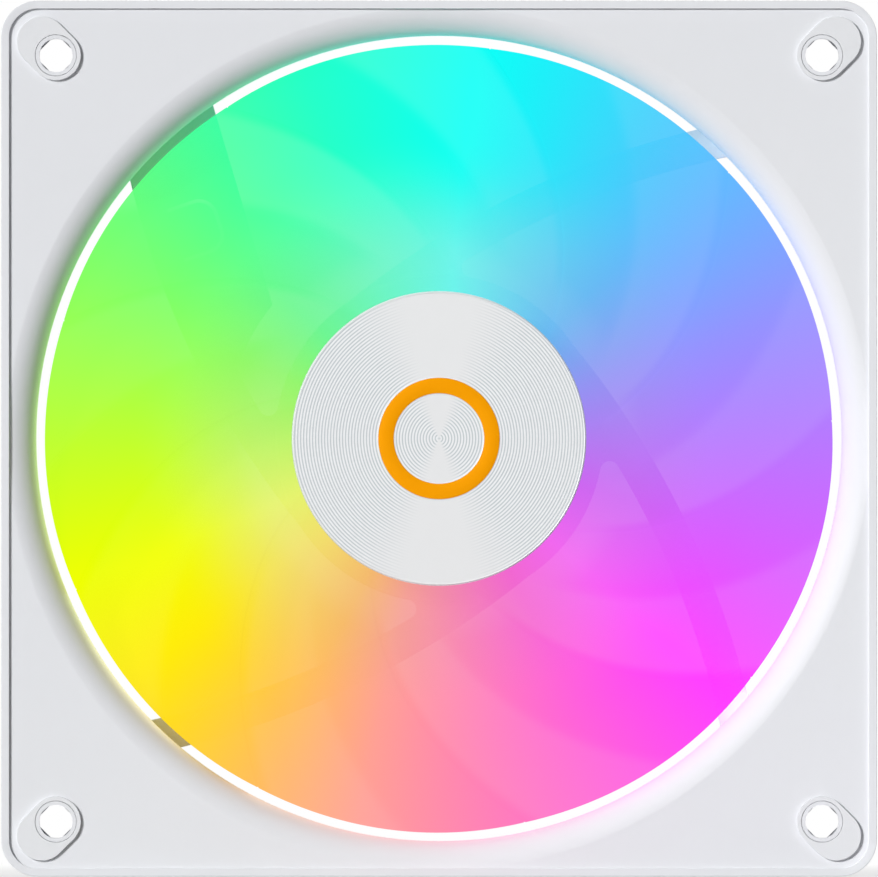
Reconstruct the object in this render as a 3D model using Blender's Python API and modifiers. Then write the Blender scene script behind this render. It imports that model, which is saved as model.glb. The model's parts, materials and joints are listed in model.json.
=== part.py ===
"""Case fan: a square frame with a ducted, lit impeller and the motor inside its hub.

Every piece is built about the fan's own axis, with local +Z towards the intake side. One empty
then stands the fan upright: the intake faces -Y and the lower edge of the frame is at Z = 0.
The rotor hangs on a second empty, which lies on the axis that it spins about. Sizes are metres.
"""

import math

import bmesh
import bpy
from mathutils import Matrix

# Gaps between pieces
CLEARANCE = 0.0003  # between neighbours that don't move against each other
TRIM_GAP = 0.00015  # around the accent ring in its groove
RUNNING_GAP = 0.0001  # shaft in its bearing, and shaft end on its thrust pad

# Frame
FRAME_SIZE = 0.120
FRAME_DEPTH = 0.025
CORNER_RADIUS = 0.0050
FLANGE_THICKNESS = 0.0036
RIM_WIDTH = 0.0011  # raised edge round the intake face
RIM_HEIGHT = 0.00035
SIDE_MARGIN = 0.0049  # from the side of the frame to the duct at its nearest
DUCT_WALL = 0.0019
DUCT_DRAFT = 0.00025  # the duct widens by this much towards the outlet
LIP_RADIUS = 0.0035  # rounded intake edge of the duct
OUTLET_CHAMFER = 0.0010
HOLE_INSET = 0.0075  # screw hole centre from the two sides of its corner
HOLE_DIAMETER = 0.0044
HOLE_FLAT = 0.00012  # how far the four crush flats stand into the hole
HOLE_LEAD = 0.0060  # wider round part of the hole, before the flats begin
HOLE_LEAD_STEP = 0.00008
POST_WALL = 0.0020
RIB_THICKNESS = 0.0016  # web between a corner post and the duct

# Corner pads, in shallow pockets on both faces, each round a collar of the frame
PAD_WIDTH = 0.0070
PAD_REACH = 0.0031  # from the hole centre to the centre of the pad's outer end
PAD_HOLE_DIAMETER = 0.0057
PAD_POCKET_DEPTH = 0.0006
PAD_PROUD = 0.0001  # above the rim, and above the rear face

# Motor base and the curved struts that carry it
STRUT_COUNT = 4
STRUT_WIDTH = 0.0053
STRUT_DEPTH = 0.0032
STRUT_INSET = 0.0005  # rear faces of struts and base, in front of the rear face of the frame
STRUT_BEND_RADIUS = 0.1003  # of the outer edge
STRUT_DIRECTION = math.radians(-46.4)  # of the bend's centre, seen from the axis
STRUT_FILLET = 0.0013
BASE_OVERHANG = 0.0024  # base beyond the hub
BASE_RIM_WALL = 0.0023
BASE_STEP = 0.0002  # faces of the base beyond those of the struts
BASE_FLOOR = 0.0016
BASE_SUNK = 0.0003  # shallow round recess in the back of the base
BASE_CHAMFER = 0.0006

# Wide strut with the cable channel on its back
CABLE_STRUT = 1  # which strut, in quarter turns
WING_ANGLE = math.radians(16.6)  # straight edge of the wing, seen in the first strut's place
WING_OFFSET = 0.0167  # of that edge from the axis
WING_GAP = 0.0068  # between the wing and the motor base
CHANNEL_WALL = 0.0009
CHANNEL_FLOOR = 0.0012
NOTCH_WIDTH = 0.0060  # where the channel leaves through the rear flange
HOOK_LENGTH = 0.0062  # spring tongue that holds the cable down
HOOK_WIDTH = 0.0072
HOOK_SLIT = 0.0005
HOOK_CORNER = 0.0024
HOOK_RADIUS = 0.0441  # middle of the tongue from the axis
HOOK_ANGLE = math.radians(46.5)
HOOK_TURN = math.radians(-71.0)

# Impeller
BLADE_COUNT = 9
TIP_CLEARANCE = 0.0010
HUB_RADIUS = 0.0202
HUB_WALL = 0.0018
HUB_EDGE = 0.0004
HUB_GAP = 0.0014  # hub skirt above the motor base
BLADE_FRONT_SETBACK = 0.0050  # leading edge behind the rim
BLADE_REAR_GAP = 0.0022  # trailing edge in front of the struts
BLADE_THICKNESS = 0.0016
BLADE_OVERLAP = 0.010  # share by which each blade's span passes its pitch
BLADE_CAMBER = 0.38
BLADE_START = math.radians(3.0)  # trailing edge of the first blade, at the hub
BLADE_SWEEP = math.radians(39.7)  # from hub to tip
BLADE_SWEEP_EASE = 0.12
BLADE_TIP_DROP = 0.0009  # how much the edges draw in at the tip

# Hub cap and accent ring
CAP_SETBACK = 0.0012  # behind the rim
CAP_THICKNESS = 0.0009
CAP_CHAMFER = 0.0002
RING_INNER_RADIUS = 0.00625
RING_WIDTH = 0.0020
RING_THICKNESS = 0.0003

# Motor, from the shaft outwards and from the hub inwards; a share is of the hub's radius
SHAFT_RADIUS = 0.0015
BEARING_WALL_SHARE = 0.094
TUBE_WALL_SHARE = 0.040
STATOR_RING_SHARE = 0.109
POLE_COUNT = 4
POLE_NECK_SHARE = 0.178
POLE_HALF_SPAN = math.radians(35.0)
POLE_TIP_SHARE = 0.040
YOKE_WALL_SHARE = 0.050
YOKE_SETBACK = 0.0008
MAGNET_WALL_SHARE = 0.099
MAGNET_SETBACK = 0.0004
AIR_GAP = 0.0005
COIL_THICKNESS = 0.0016
INSULATOR_THICKNESS = 0.0008
COIL_AIR = 0.0006  # over the coils, and under them to the board
BUSH_LENGTH = 0.0020
BUSH_WALL = 0.0014
SEAL_THICKNESS = 0.0006
CLIP_THICKNESS = 0.0004
CLIP_WIDTH = 0.0015
SHAFT_TAIL = 0.0005  # below the clip
THRUST_THICKNESS = 0.0006
END_CAP_THICKNESS = 0.0006

# Board
BOARD_THICKNESS = 0.0010
LED_COUNT = 8
LED_SIZE = 0.0016
LED_HEIGHT = 0.0009
CHIP_SIZE = 0.0036
CHIP_HEIGHT = 0.0009
SENSOR_SIZE = (0.0016, 0.0030, 0.0014)
CAPACITOR_SIZE = (0.0014, 0.0024, 0.0012)

# Facets
DUCT_SEGMENTS = 72
HUB_SEGMENTS = 54
BASE_SEGMENTS = 48
MOTOR_SEGMENTS = 36
SMALL_SEGMENTS = 16
CORNER_STEPS = 5
STRUT_STEPS = 7
PAD_STEPS = 6

# Walls of the motor
bearing_wall = HUB_RADIUS * BEARING_WALL_SHARE
tube_wall = HUB_RADIUS * TUBE_WALL_SHARE
ring_wall = HUB_RADIUS * STATOR_RING_SHARE
pole_neck = HUB_RADIUS * POLE_NECK_SHARE
pole_tip = HUB_RADIUS * POLE_TIP_SHARE
yoke_wall = HUB_RADIUS * YOKE_WALL_SHARE
magnet_wall = HUB_RADIUS * MAGNET_WALL_SHARE

# Heights along the axis
front = FRAME_DEPTH / 2
rear = -FRAME_DEPTH / 2
panel = front - RIM_HEIGHT
strut_rear = rear + STRUT_INSET
strut_front = strut_rear + STRUT_DEPTH
base_top = strut_front + BASE_STEP
base_rear = strut_rear - BASE_STEP
floor_top = base_rear + BASE_FLOOR
sunk_face = base_rear + BASE_SUNK
channel_top = strut_front - CHANNEL_FLOOR
board_bottom = floor_top + CLEARANCE
board_top = board_bottom + BOARD_THICKNESS
hub_rear = base_top + HUB_GAP
cap_front = front - CAP_SETBACK
cap_rear = cap_front - CAP_THICKNESS
hub_top = cap_rear - CLEARANCE
hub_ceiling = hub_top - HUB_WALL
yoke_top = hub_ceiling - CLEARANCE
yoke_ceiling = yoke_top - yoke_wall
yoke_rear = hub_rear + YOKE_SETBACK
bush_bottom = yoke_ceiling - BUSH_LENGTH
tube_top = bush_bottom - 2 * CLEARANCE
end_cap_top = sunk_face + END_CAP_THICKNESS
thrust_bottom = end_cap_top + CLEARANCE
thrust_top = thrust_bottom + THRUST_THICKNESS
shaft_bottom = thrust_top + RUNNING_GAP
clip_bottom = shaft_bottom + SHAFT_TAIL
clip_top = clip_bottom + CLIP_THICKNESS
bearing_bottom = clip_top + 2 * CLEARANCE
seal_top = tube_top - CLEARANCE
seal_bottom = seal_top - SEAL_THICKNESS
bearing_top = seal_bottom - CLEARANCE
coil_top = yoke_ceiling - COIL_AIR
coil_bottom = board_top + COIL_AIR
stator_middle = (coil_top + coil_bottom) / 2
insulator_top = coil_top - COIL_THICKNESS - CLEARANCE
insulator_bottom = coil_bottom + COIL_THICKNESS + CLEARANCE
stator_top = insulator_top - INSULATOR_THICKNESS - CLEARANCE
stator_bottom = insulator_bottom + INSULATOR_THICKNESS + CLEARANCE
blade_front = front - BLADE_FRONT_SETBACK
blade_rear = strut_front + BLADE_REAR_GAP

# Radii
duct_radius = FRAME_SIZE / 2 - SIDE_MARGIN
duct_outer = duct_radius + DUCT_WALL
lip = min(LIP_RADIUS, SIDE_MARGIN - RIM_WIDTH - CLEARANCE)
tip_radius = duct_radius - TIP_CLEARANCE
base_radius = HUB_RADIUS + BASE_OVERHANG
dish_radius = base_radius - BASE_RIM_WALL
board_radius = dish_radius - CLEARANCE
bearing_inner = SHAFT_RADIUS + RUNNING_GAP
bearing_outer = bearing_inner + bearing_wall
tube_inner = bearing_outer + CLEARANCE
tube_outer = tube_inner + tube_wall
stator_bore = tube_outer + CLEARANCE
stator_ring = stator_bore + ring_wall
hub_inner = HUB_RADIUS - HUB_WALL
yoke_outer = hub_inner - CLEARANCE
yoke_inner = yoke_outer - yoke_wall
magnet_outer = yoke_inner - CLEARANCE
magnet_inner = magnet_outer - magnet_wall
stator_radius = magnet_inner - AIR_GAP
bush_inner = SHAFT_RADIUS + CLEARANCE
bush_outer = bush_inner + BUSH_WALL
strut_end = duct_radius + DUCT_DRAFT + DUCT_WALL / 2
root_radius = base_radius - BASE_RIM_WALL / 2
hole_place = FRAME_SIZE / 2 - HOLE_INSET


def clear_scene():
    for obj in list(bpy.data.objects):
        bpy.data.objects.remove(obj, do_unlink=True)


def new_collection(name):
    collection = bpy.data.collections.new(name)
    bpy.context.scene.collection.children.link(collection)
    return collection


def new_empty(name, parent=None):
    empty = bpy.data.objects.new(name, None)
    empty.empty_display_size = FRAME_SIZE / 4
    empty.parent = parent
    parts.objects.link(empty)
    return empty


def material(name, colour, roughness, metallic=0.0):
    made = bpy.data.materials.new(name)
    made.use_nodes = True
    shader = made.node_tree.nodes["Principled BSDF"]
    shader.inputs["Base Color"].default_value = (*colour, 1.0)
    shader.inputs["Roughness"].default_value = roughness
    shader.inputs["Metallic"].default_value = metallic
    return made


def mesh_object(name, bm):
    """A mesh object on the fan's axis, first kept with the helpers."""
    mesh = bpy.data.meshes.new(name)
    bm.to_mesh(mesh)
    bm.free()
    obj = bpy.data.objects.new(name, mesh)
    obj.parent = fan_axis
    obj.hide_render = True
    obj.display_type = "WIRE"
    helpers.objects.link(obj)
    return obj


def evaluated(obj):
    """The object's shape with its modifiers applied, or the mesh of a curve."""
    graph = bpy.context.evaluated_depsgraph_get()
    mesh = bpy.data.meshes.new_from_object(obj.evaluated_get(graph))
    bm = bmesh.new()
    bm.from_mesh(mesh)
    bpy.data.meshes.remove(mesh)
    return bm


def finish(obj, finish_material, parent=None):
    """Makes a helper a part: its cuts applied, shown, shaded and on the body that carries it."""
    bm = evaluated(obj)
    bm.to_mesh(obj.data)
    bm.free()
    obj.modifiers.clear()
    helpers.objects.unlink(obj)
    parts.objects.link(obj)
    obj.hide_render = False
    obj.display_type = "TEXTURED"
    obj.parent = parent or fan_axis
    obj.data.materials.clear()
    obj.data.materials.append(finish_material)
    obj.data.shade_smooth()
    obj.data.set_sharp_from_angle(angle=math.radians(30))
    return obj


def turned(name, profile, segments):
    """Revolves an outline of (radius, height) points about the axis.

    The outline runs down its outer side. One that starts and ends on the axis stays open there.
    """
    on_axis = profile[0][0] == 0 and profile[-1][0] == 0
    bm = bmesh.new()
    verts = [bm.verts.new((radius, 0, height)) for radius, height in profile]
    for first, second in zip(verts, verts[1:]):
        bm.edges.new((first, second))
    if not on_axis:
        bm.edges.new((verts[-1], verts[0]))
    obj = mesh_object(name, bm)
    screw = obj.modifiers.new("Turn", "SCREW")
    screw.steps = segments
    screw.render_steps = segments
    screw.use_merge_vertices = True
    screw.merge_threshold = 0.00001
    return obj


def ring(name, inner, outer, bottom, top, segments):
    profile = [(inner, top), (outer, top), (outer, bottom), (inner, bottom)]
    return turned(name, profile, segments)


def disc(name, radius, bottom, top, segments):
    return turned(name, [(0, top), (radius, top), (radius, bottom), (0, bottom)], segments)


def plate(name, outlines, bottom, top):
    """Extrudes flat outlines, the first of them with the others as holes, between two heights."""
    curve = bpy.data.curves.new(name, "CURVE")
    curve.dimensions = "2D"
    curve.fill_mode = "BOTH"
    curve.extrude = (top - bottom) / 2
    for outline in outlines:
        spline = curve.splines.new("POLY")
        spline.points.add(len(outline) - 1)
        spline.use_cyclic_u = True
        for point, (x, y) in zip(spline.points, outline):
            point.co = (x, y, 0, 1)
    drawn = bpy.data.objects.new(name + "_outline", curve)
    helpers.objects.link(drawn)
    bm = evaluated(drawn)
    bmesh.ops.remove_doubles(bm, verts=bm.verts, dist=0.000001)
    bmesh.ops.recalc_face_normals(bm, faces=bm.faces)
    obj = mesh_object(name, bm)
    bpy.data.objects.remove(drawn)
    bpy.data.curves.remove(curve)
    obj.location.z = (bottom + top) / 2
    return obj


def box(name, size, place, turn=0.0):
    """A block of the given size, with its middle at radius and height, turned round the axis."""
    radius, height = place
    bm = bmesh.new()
    bmesh.ops.create_cube(bm, size=1)
    bmesh.ops.scale(bm, vec=size, verts=bm.verts)
    bmesh.ops.translate(bm, vec=(radius, 0, height), verts=bm.verts)
    bmesh.ops.rotate(bm, matrix=Matrix.Rotation(turn, 3, "Z"), verts=bm.verts)
    return mesh_object(name, bm)


def repeat_round(obj, count):
    """Repeats the object's own mesh round the axis, as separate shells."""
    bm = bmesh.new()
    bm.from_mesh(obj.data)
    first = bm.verts[:] + bm.edges[:] + bm.faces[:]
    for step in range(1, count):
        copy = bmesh.ops.duplicate(bm, geom=first)["geom"]
        verts = [item for item in copy if isinstance(item, bmesh.types.BMVert)]
        turn = Matrix.Rotation(math.tau * step / count, 3, "Z")
        bmesh.ops.rotate(bm, matrix=turn, verts=verts)
    bm.to_mesh(obj.data)
    bm.free()
    return obj


def combine(obj, operation, *others):
    for other in others:
        modifier = obj.modifiers.new(other.name, "BOOLEAN")
        modifier.operation = operation
        modifier.solver = "EXACT"
        modifier.object = other
    return obj


def polar(radius, angle):
    return (radius * math.cos(angle), radius * math.sin(angle))


def arc(centre, radius, start, end, steps):
    """Points from one angle to another round a centre, both ends included."""
    points = []
    for step in range(steps + 1):
        x, y = polar(radius, start + (end - start) * step / steps)
        points.append((centre[0] + x, centre[1] + y))
    return points


def circle(centre, radius, segments):
    return arc(centre, radius, 0, math.tau, segments)[:-1]


def rounded_square(half, radius):
    points = []
    for quarter in range(4):
        turn = quarter * math.pi / 2
        corner = polar((half - radius) * math.sqrt(2), math.pi / 4 + turn)
        points += arc(corner, radius, turn, turn + math.pi / 2, CORNER_STEPS)
    return points


def rotated(points, turn):
    made = []
    for x, y in points:
        made.append((x * math.cos(turn) - y * math.sin(turn), x * math.sin(turn) + y * math.cos(turn)))
    return made


def strut_angle(radius, inset):
    """Angle at which a line set in from the strut's outer edge crosses a radius of the fan."""
    bend = STRUT_BEND_RADIUS - inset
    away = STRUT_BEND_RADIUS - base_radius + CLEARANCE
    cosine = (radius**2 + away**2 - bend**2) / (2 * radius * away)
    return STRUT_DIRECTION + math.acos(max(-1.0, min(1.0, cosine)))


def strut_line(inset, start, end, steps):
    """Points along the strut from one radius of the fan to another."""
    points = []
    for step in range(steps + 1):
        radius = start + (end - start) * (step / steps) ** 2
        points.append(polar(radius, strut_angle(radius, inset)))
    return points


def strut_outline():
    """A curved bar that runs off the base along its rim; its root ends inside the rim's wall."""
    outer = strut_line(0, base_radius - CLEARANCE, strut_end, STRUT_STEPS)
    inner = strut_line(STRUT_WIDTH, root_radius, strut_end, STRUT_STEPS)
    touch = STRUT_DIRECTION + math.pi
    root = arc((0, 0), root_radius, strut_angle(root_radius, STRUT_WIDTH), touch, 4)
    return outer + inner[::-1] + root[1:]


def strut_fillet_outline():
    """Rounds the narrow corner between the strut's inner edge and the base."""
    reach = base_radius + STRUT_FILLET
    angle = strut_angle(reach, STRUT_WIDTH + STRUT_FILLET)
    centre = polar(reach, angle)
    bend = polar(STRUT_BEND_RADIUS - base_radius + CLEARANCE, STRUT_DIRECTION)
    to_strut = math.atan2(centre[1] - bend[1], centre[0] - bend[0])
    to_base = angle + math.pi
    while to_base - to_strut > math.pi:
        to_base -= math.tau
    while to_base - to_strut < -math.pi:
        to_base += math.tau
    rounded = arc(centre, STRUT_FILLET, to_strut, to_base, 4)
    in_base = polar(root_radius, angle)
    in_corner = polar(root_radius, strut_angle(root_radius, STRUT_WIDTH / 2))
    strut_side = base_radius + 2 * STRUT_FILLET
    in_strut = polar(strut_side, strut_angle(strut_side, STRUT_WIDTH / 2))
    return rounded + [in_base, in_corner, in_strut]


def wing_outline(inset, end):
    """The wing beside the cable strut, from its straight edge to the strut's middle line."""
    start = base_radius + WING_GAP + inset
    offset = WING_OFFSET + inset
    edge_start = WING_ANGLE + math.asin(offset / start)
    edge_end = WING_ANGLE + math.asin(offset / end)
    strut_start = strut_angle(start, STRUT_WIDTH / 2)
    inner_end = arc((0, 0), start, edge_start, strut_start, 5)
    strut_side = strut_line(STRUT_WIDTH / 2, start, end, 6)
    return [polar(end, edge_end)] + inner_end + strut_side[1:]


def channel_outline():
    """The groove along the cable strut, between its two walls."""
    start = dish_radius - CHANNEL_WALL
    end = duct_radius - DUCT_WALL
    outer = strut_line(CHANNEL_WALL, start, end, STRUT_STEPS)
    inner = strut_line(STRUT_WIDTH - CHANNEL_WALL, start, end, STRUT_STEPS)
    return outer + inner[::-1]


def notch_outline():
    """The way out for the cable, from the wing's end to the side of the frame."""
    low = WING_OFFSET + CHANNEL_WALL
    strip = [(duct_radius - DUCT_WALL, low), (FRAME_SIZE, low)]
    strip += [(FRAME_SIZE, low + NOTCH_WIDTH), (duct_radius - DUCT_WALL, low + NOTCH_WIDTH)]
    return rotated(strip, WING_ANGLE)


def hook_outline():
    """A U-shaped slit that frees a tongue in the floor of the wing."""
    half = HOOK_WIDTH / 2
    corner = min(HOOK_CORNER, half)

    def one_side(grow):
        reach = HOOK_LENGTH / 2 + grow
        radius = corner + grow
        across = half + grow
        points = [(-HOOK_LENGTH / 2, -across)]
        points += arc((reach - radius, -across + radius), radius, -math.pi / 2, 0, 4)
        points += arc((reach - radius, across - radius), radius, 0, math.pi / 2, 4)
        return points + [(-HOOK_LENGTH / 2, across)]

    slit = one_side(HOOK_SLIT / 2) + one_side(-HOOK_SLIT / 2)[::-1]
    middle = polar(HOOK_RADIUS, HOOK_ANGLE)
    return [(x + middle[0], y + middle[1]) for x, y in rotated(slit, HOOK_TURN)]


def pad_outline(grow):
    """A stadium from the screw hole towards the outer corner."""
    radius = PAD_WIDTH / 2 + grow
    diagonal = math.pi / 4
    near = (hole_place, hole_place)
    reach = polar(PAD_REACH, diagonal)
    far = (hole_place + reach[0], hole_place + reach[1])
    points = arc(far, radius, diagonal - math.pi / 2, diagonal + math.pi / 2, PAD_STEPS)
    return points + arc(near, radius, diagonal + math.pi / 2, diagonal + 3 * math.pi / 2, PAD_STEPS)


def hole_outline(flat):
    """A round hole with four flats that face the diagonals."""
    radius = HOLE_DIAMETER / 2
    spread = math.acos(1 - flat / radius)
    points = []
    for quarter in range(4):
        diagonal = math.pi / 4 + quarter * math.pi / 2
        points += arc((hole_place, hole_place), radius, diagonal + spread,
                      diagonal + math.pi / 2 - spread, 3)
    return points


def duct_cutter():
    """The air's way through the frame: a rounded intake, a drafted bore and a flared outlet."""
    beyond = FLANGE_THICKNESS
    profile = [(0, front + beyond), (duct_radius + lip, front + beyond)]
    profile.append((duct_radius + lip, panel + RIM_HEIGHT / 20))
    for step in range(1, 6):
        turn = math.pi / 2 * step / 5
        profile.append((duct_radius + lip * (1 - math.sin(turn)), panel - lip * (1 - math.cos(turn))))
    outlet = duct_radius + DUCT_DRAFT
    profile += [(outlet, rear + OUTLET_CHAMFER), (outlet + OUTLET_CHAMFER, rear)]
    profile += [(outlet + OUTLET_CHAMFER, rear - beyond), (0, rear - beyond)]
    return turned("duct_cutter", profile, DUCT_SEGMENTS)


def motor_base():
    """The dish behind the hub, with the tube that holds the bearing."""
    profile = [
        (tube_inner, tube_top),
        (tube_outer, tube_top),
        (tube_outer, floor_top),
        (dish_radius, floor_top),
        (dish_radius, base_top),
        (base_radius, base_top),
        (base_radius, base_rear + BASE_CHAMFER),
        (base_radius - BASE_CHAMFER, base_rear),
        (dish_radius, base_rear),
        (dish_radius - BASE_SUNK, sunk_face),
        (tube_inner, sunk_face),
    ]
    return turned("motor_base", profile, BASE_SEGMENTS)


def fan_frame():
    half = FRAME_SIZE / 2
    bury = FLANGE_THICKNESS / 2
    square = rounded_square(half, CORNER_RADIUS)
    inner_square = rounded_square(half - RIM_WIDTH, max(CORNER_RADIUS - RIM_WIDTH, RIM_WIDTH))
    cable_turn = CABLE_STRUT * math.tau / STRUT_COUNT

    frame = plate("fan_frame", [square], front - FLANGE_THICKNESS, front)
    rear_flange = plate("rear_flange", [square], rear, rear + FLANGE_THICKNESS)
    duct = disc("duct_body", duct_outer, rear + bury, front - bury, DUCT_SEGMENTS)
    post = circle((hole_place, hole_place), HOLE_DIAMETER / 2 + POST_WALL, SMALL_SEGMENTS)
    posts = repeat_round(plate("corner_posts", [post], rear + bury, front - bury), 4)
    rib_length = hole_place * math.sqrt(2) - duct_radius
    rib_size = (rib_length, RIB_THICKNESS, FRAME_DEPTH - 2 * bury)
    ribs = box("corner_ribs", rib_size, (duct_radius + rib_length / 2, 0), math.pi / 4)
    repeat_round(ribs, 4)

    island = circle((hole_place, hole_place), PAD_HOLE_DIAMETER / 2, SMALL_SEGMENTS)
    islands = [rotated(island, quarter * math.pi / 2) for quarter in range(4)]
    recess = plate("face_recess", [inner_square, *islands], panel, front + bury)
    collar = circle((hole_place, hole_place), PAD_HOLE_DIAMETER / 2 - CLEARANCE, SMALL_SEGMENTS)
    pad_pocket = [pad_outline(CLEARANCE), collar]
    front_floor = panel - PAD_POCKET_DEPTH
    front_pockets = plate("front_pockets", pad_pocket, front_floor, front + bury)
    rear_floor = rear + PAD_POCKET_DEPTH
    rear_pockets = plate("rear_pockets", pad_pocket, rear - bury, rear_floor)
    through = plate("screw_holes", [hole_outline(HOLE_FLAT)], rear - bury, front + bury)
    lead_radius = HOLE_DIAMETER / 2 + HOLE_LEAD_STEP
    round_hole = circle((hole_place, hole_place), lead_radius, SMALL_SEGMENTS)
    lead_in = plate("hole_lead_in", [round_hole], front - HOLE_LEAD, front + bury)
    for cutter in (front_pockets, rear_pockets, through, lead_in):
        repeat_round(cutter, 4)

    struts = plate("struts", [strut_outline()], strut_rear, strut_front)
    fillets = plate("strut_fillets", [strut_fillet_outline()], strut_rear, strut_front)
    for pattern in (struts, fillets):
        repeat_round(pattern, STRUT_COUNT)
    wing = plate("cable_wing", [rotated(wing_outline(0, strut_end), cable_turn)], strut_rear, strut_front)

    behind = rear - bury
    channel = plate("cable_channel", [rotated(channel_outline(), cable_turn)], behind, channel_top)
    wing_end = duct_radius + DUCT_WALL / 2
    pocket_outline = rotated(wing_outline(CHANNEL_WALL, wing_end), cable_turn)
    pocket = plate("wing_pocket", [pocket_outline], behind, channel_top)
    notch = plate("cable_notch", [rotated(notch_outline(), cable_turn)], behind, channel_top)
    hook = plate("hook_slit", [rotated(hook_outline(), cable_turn)], behind, strut_front + bury)

    combine(frame, "UNION", rear_flange, duct, posts, ribs)
    combine(frame, "DIFFERENCE", duct_cutter(), recess, front_pockets, rear_pockets, through, lead_in)
    combine(frame, "UNION", struts, fillets, wing, motor_base())
    combine(frame, "DIFFERENCE", channel, pocket, notch, hook)
    return finish(frame, white_plastic)


def corner_pads():
    opening = circle((hole_place, hole_place), PAD_HOLE_DIAMETER / 2, SMALL_SEGMENTS)
    faces = {
        "front": (panel - PAD_POCKET_DEPTH + CLEARANCE, front + PAD_PROUD),
        "rear": (rear - PAD_PROUD, rear + PAD_POCKET_DEPTH - CLEARANCE),
    }
    corners = ("top_right", "top_left", "bottom_left", "bottom_right")
    for face, (bottom, top) in faces.items():
        for quarter, corner in enumerate(corners):
            outlines = [pad_outline(0), opening]
            turned_outlines = [rotated(outline, quarter * math.pi / 2) for outline in outlines]
            pad = plate(f"{face}_pad_{corner}", turned_outlines, bottom, top)
            finish(pad, white_rubber)


def blade_point(across, along):
    """Middle surface of a blade: across runs hub to tip, along runs trailing to leading edge."""
    root = HUB_RADIUS - HUB_WALL / 2
    radius = root + (tip_radius - root) * across
    out = (radius - HUB_RADIUS) / (tip_radius - HUB_RADIUS)
    sweep = BLADE_SWEEP * ((1 + BLADE_SWEEP_EASE) * out - BLADE_SWEEP_EASE * out * abs(out))
    span = math.tau / BLADE_COUNT * (1 + BLADE_OVERLAP)
    angle = BLADE_START + sweep + span * along
    low = blade_rear + BLADE_TIP_DROP * across
    high = blade_front - BLADE_TIP_DROP * across
    rise = along + BLADE_CAMBER * along * (1 - along)
    return (*polar(radius, angle), low + (high - low) * rise)


def blade_weight(along):
    """Share of the full thickness: fullest a third behind the leading edge, thin behind."""
    return 0.42 + 0.58 * math.sin(math.pi * along**1.6) ** 0.8


def blades():
    bm = bmesh.new()
    bmesh.ops.create_grid(bm, x_segments=8, y_segments=7, size=0.5)
    weights = []
    for vert in bm.verts:
        across = vert.co.x + 0.5
        along = vert.co.y + 0.5
        vert.co = blade_point(across, along)
        weights.append(blade_weight(along))
    surface = mesh_object("blade_surface", bm)
    group = surface.vertex_groups.new(name="thickness")
    for index, weight in enumerate(weights):
        group.add([index], weight, "REPLACE")
    shell = surface.modifiers.new("Shell", "SOLIDIFY")
    shell.thickness = BLADE_THICKNESS
    shell.offset = 0
    shell.vertex_group = group.name
    bm = evaluated(surface)
    bmesh.ops.recalc_face_normals(bm, faces=bm.faces)
    made = mesh_object("blades", bm)
    bpy.data.objects.remove(surface)
    return repeat_round(made, BLADE_COUNT)


def impeller():
    profile = [
        (0, hub_top),
        (HUB_RADIUS - HUB_EDGE, hub_top),
        (HUB_RADIUS, hub_top - HUB_EDGE),
        (HUB_RADIUS, hub_rear),
        (hub_inner, hub_rear),
        (hub_inner, hub_ceiling),
        (0, hub_ceiling),
    ]
    hub = turned("impeller", profile, HUB_SEGMENTS)
    combine(hub, "UNION", blades())
    return finish(hub, lit_plastic, rotor_axis)


def hub_cap():
    groove_floor = cap_front - RING_THICKNESS - TRIM_GAP
    groove_inner = RING_INNER_RADIUS - TRIM_GAP
    groove_outer = RING_INNER_RADIUS + RING_WIDTH + TRIM_GAP
    profile = [
        (0, cap_front),
        (groove_inner, cap_front),
        (groove_inner, groove_floor),
        (groove_outer, groove_floor),
        (groove_outer, cap_front),
        (HUB_RADIUS - CAP_CHAMFER, cap_front),
        (HUB_RADIUS, cap_front - CAP_CHAMFER),
        (HUB_RADIUS, cap_rear),
        (0, cap_rear),
    ]
    finish(turned("hub_cap", profile, HUB_SEGMENTS), spun_metal, rotor_axis)
    outer = RING_INNER_RADIUS + RING_WIDTH
    accent = ring("accent_ring", RING_INNER_RADIUS, outer, cap_front - RING_THICKNESS, cap_front,
                  HUB_SEGMENTS)
    finish(accent, accent_paint, rotor_axis)


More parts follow.
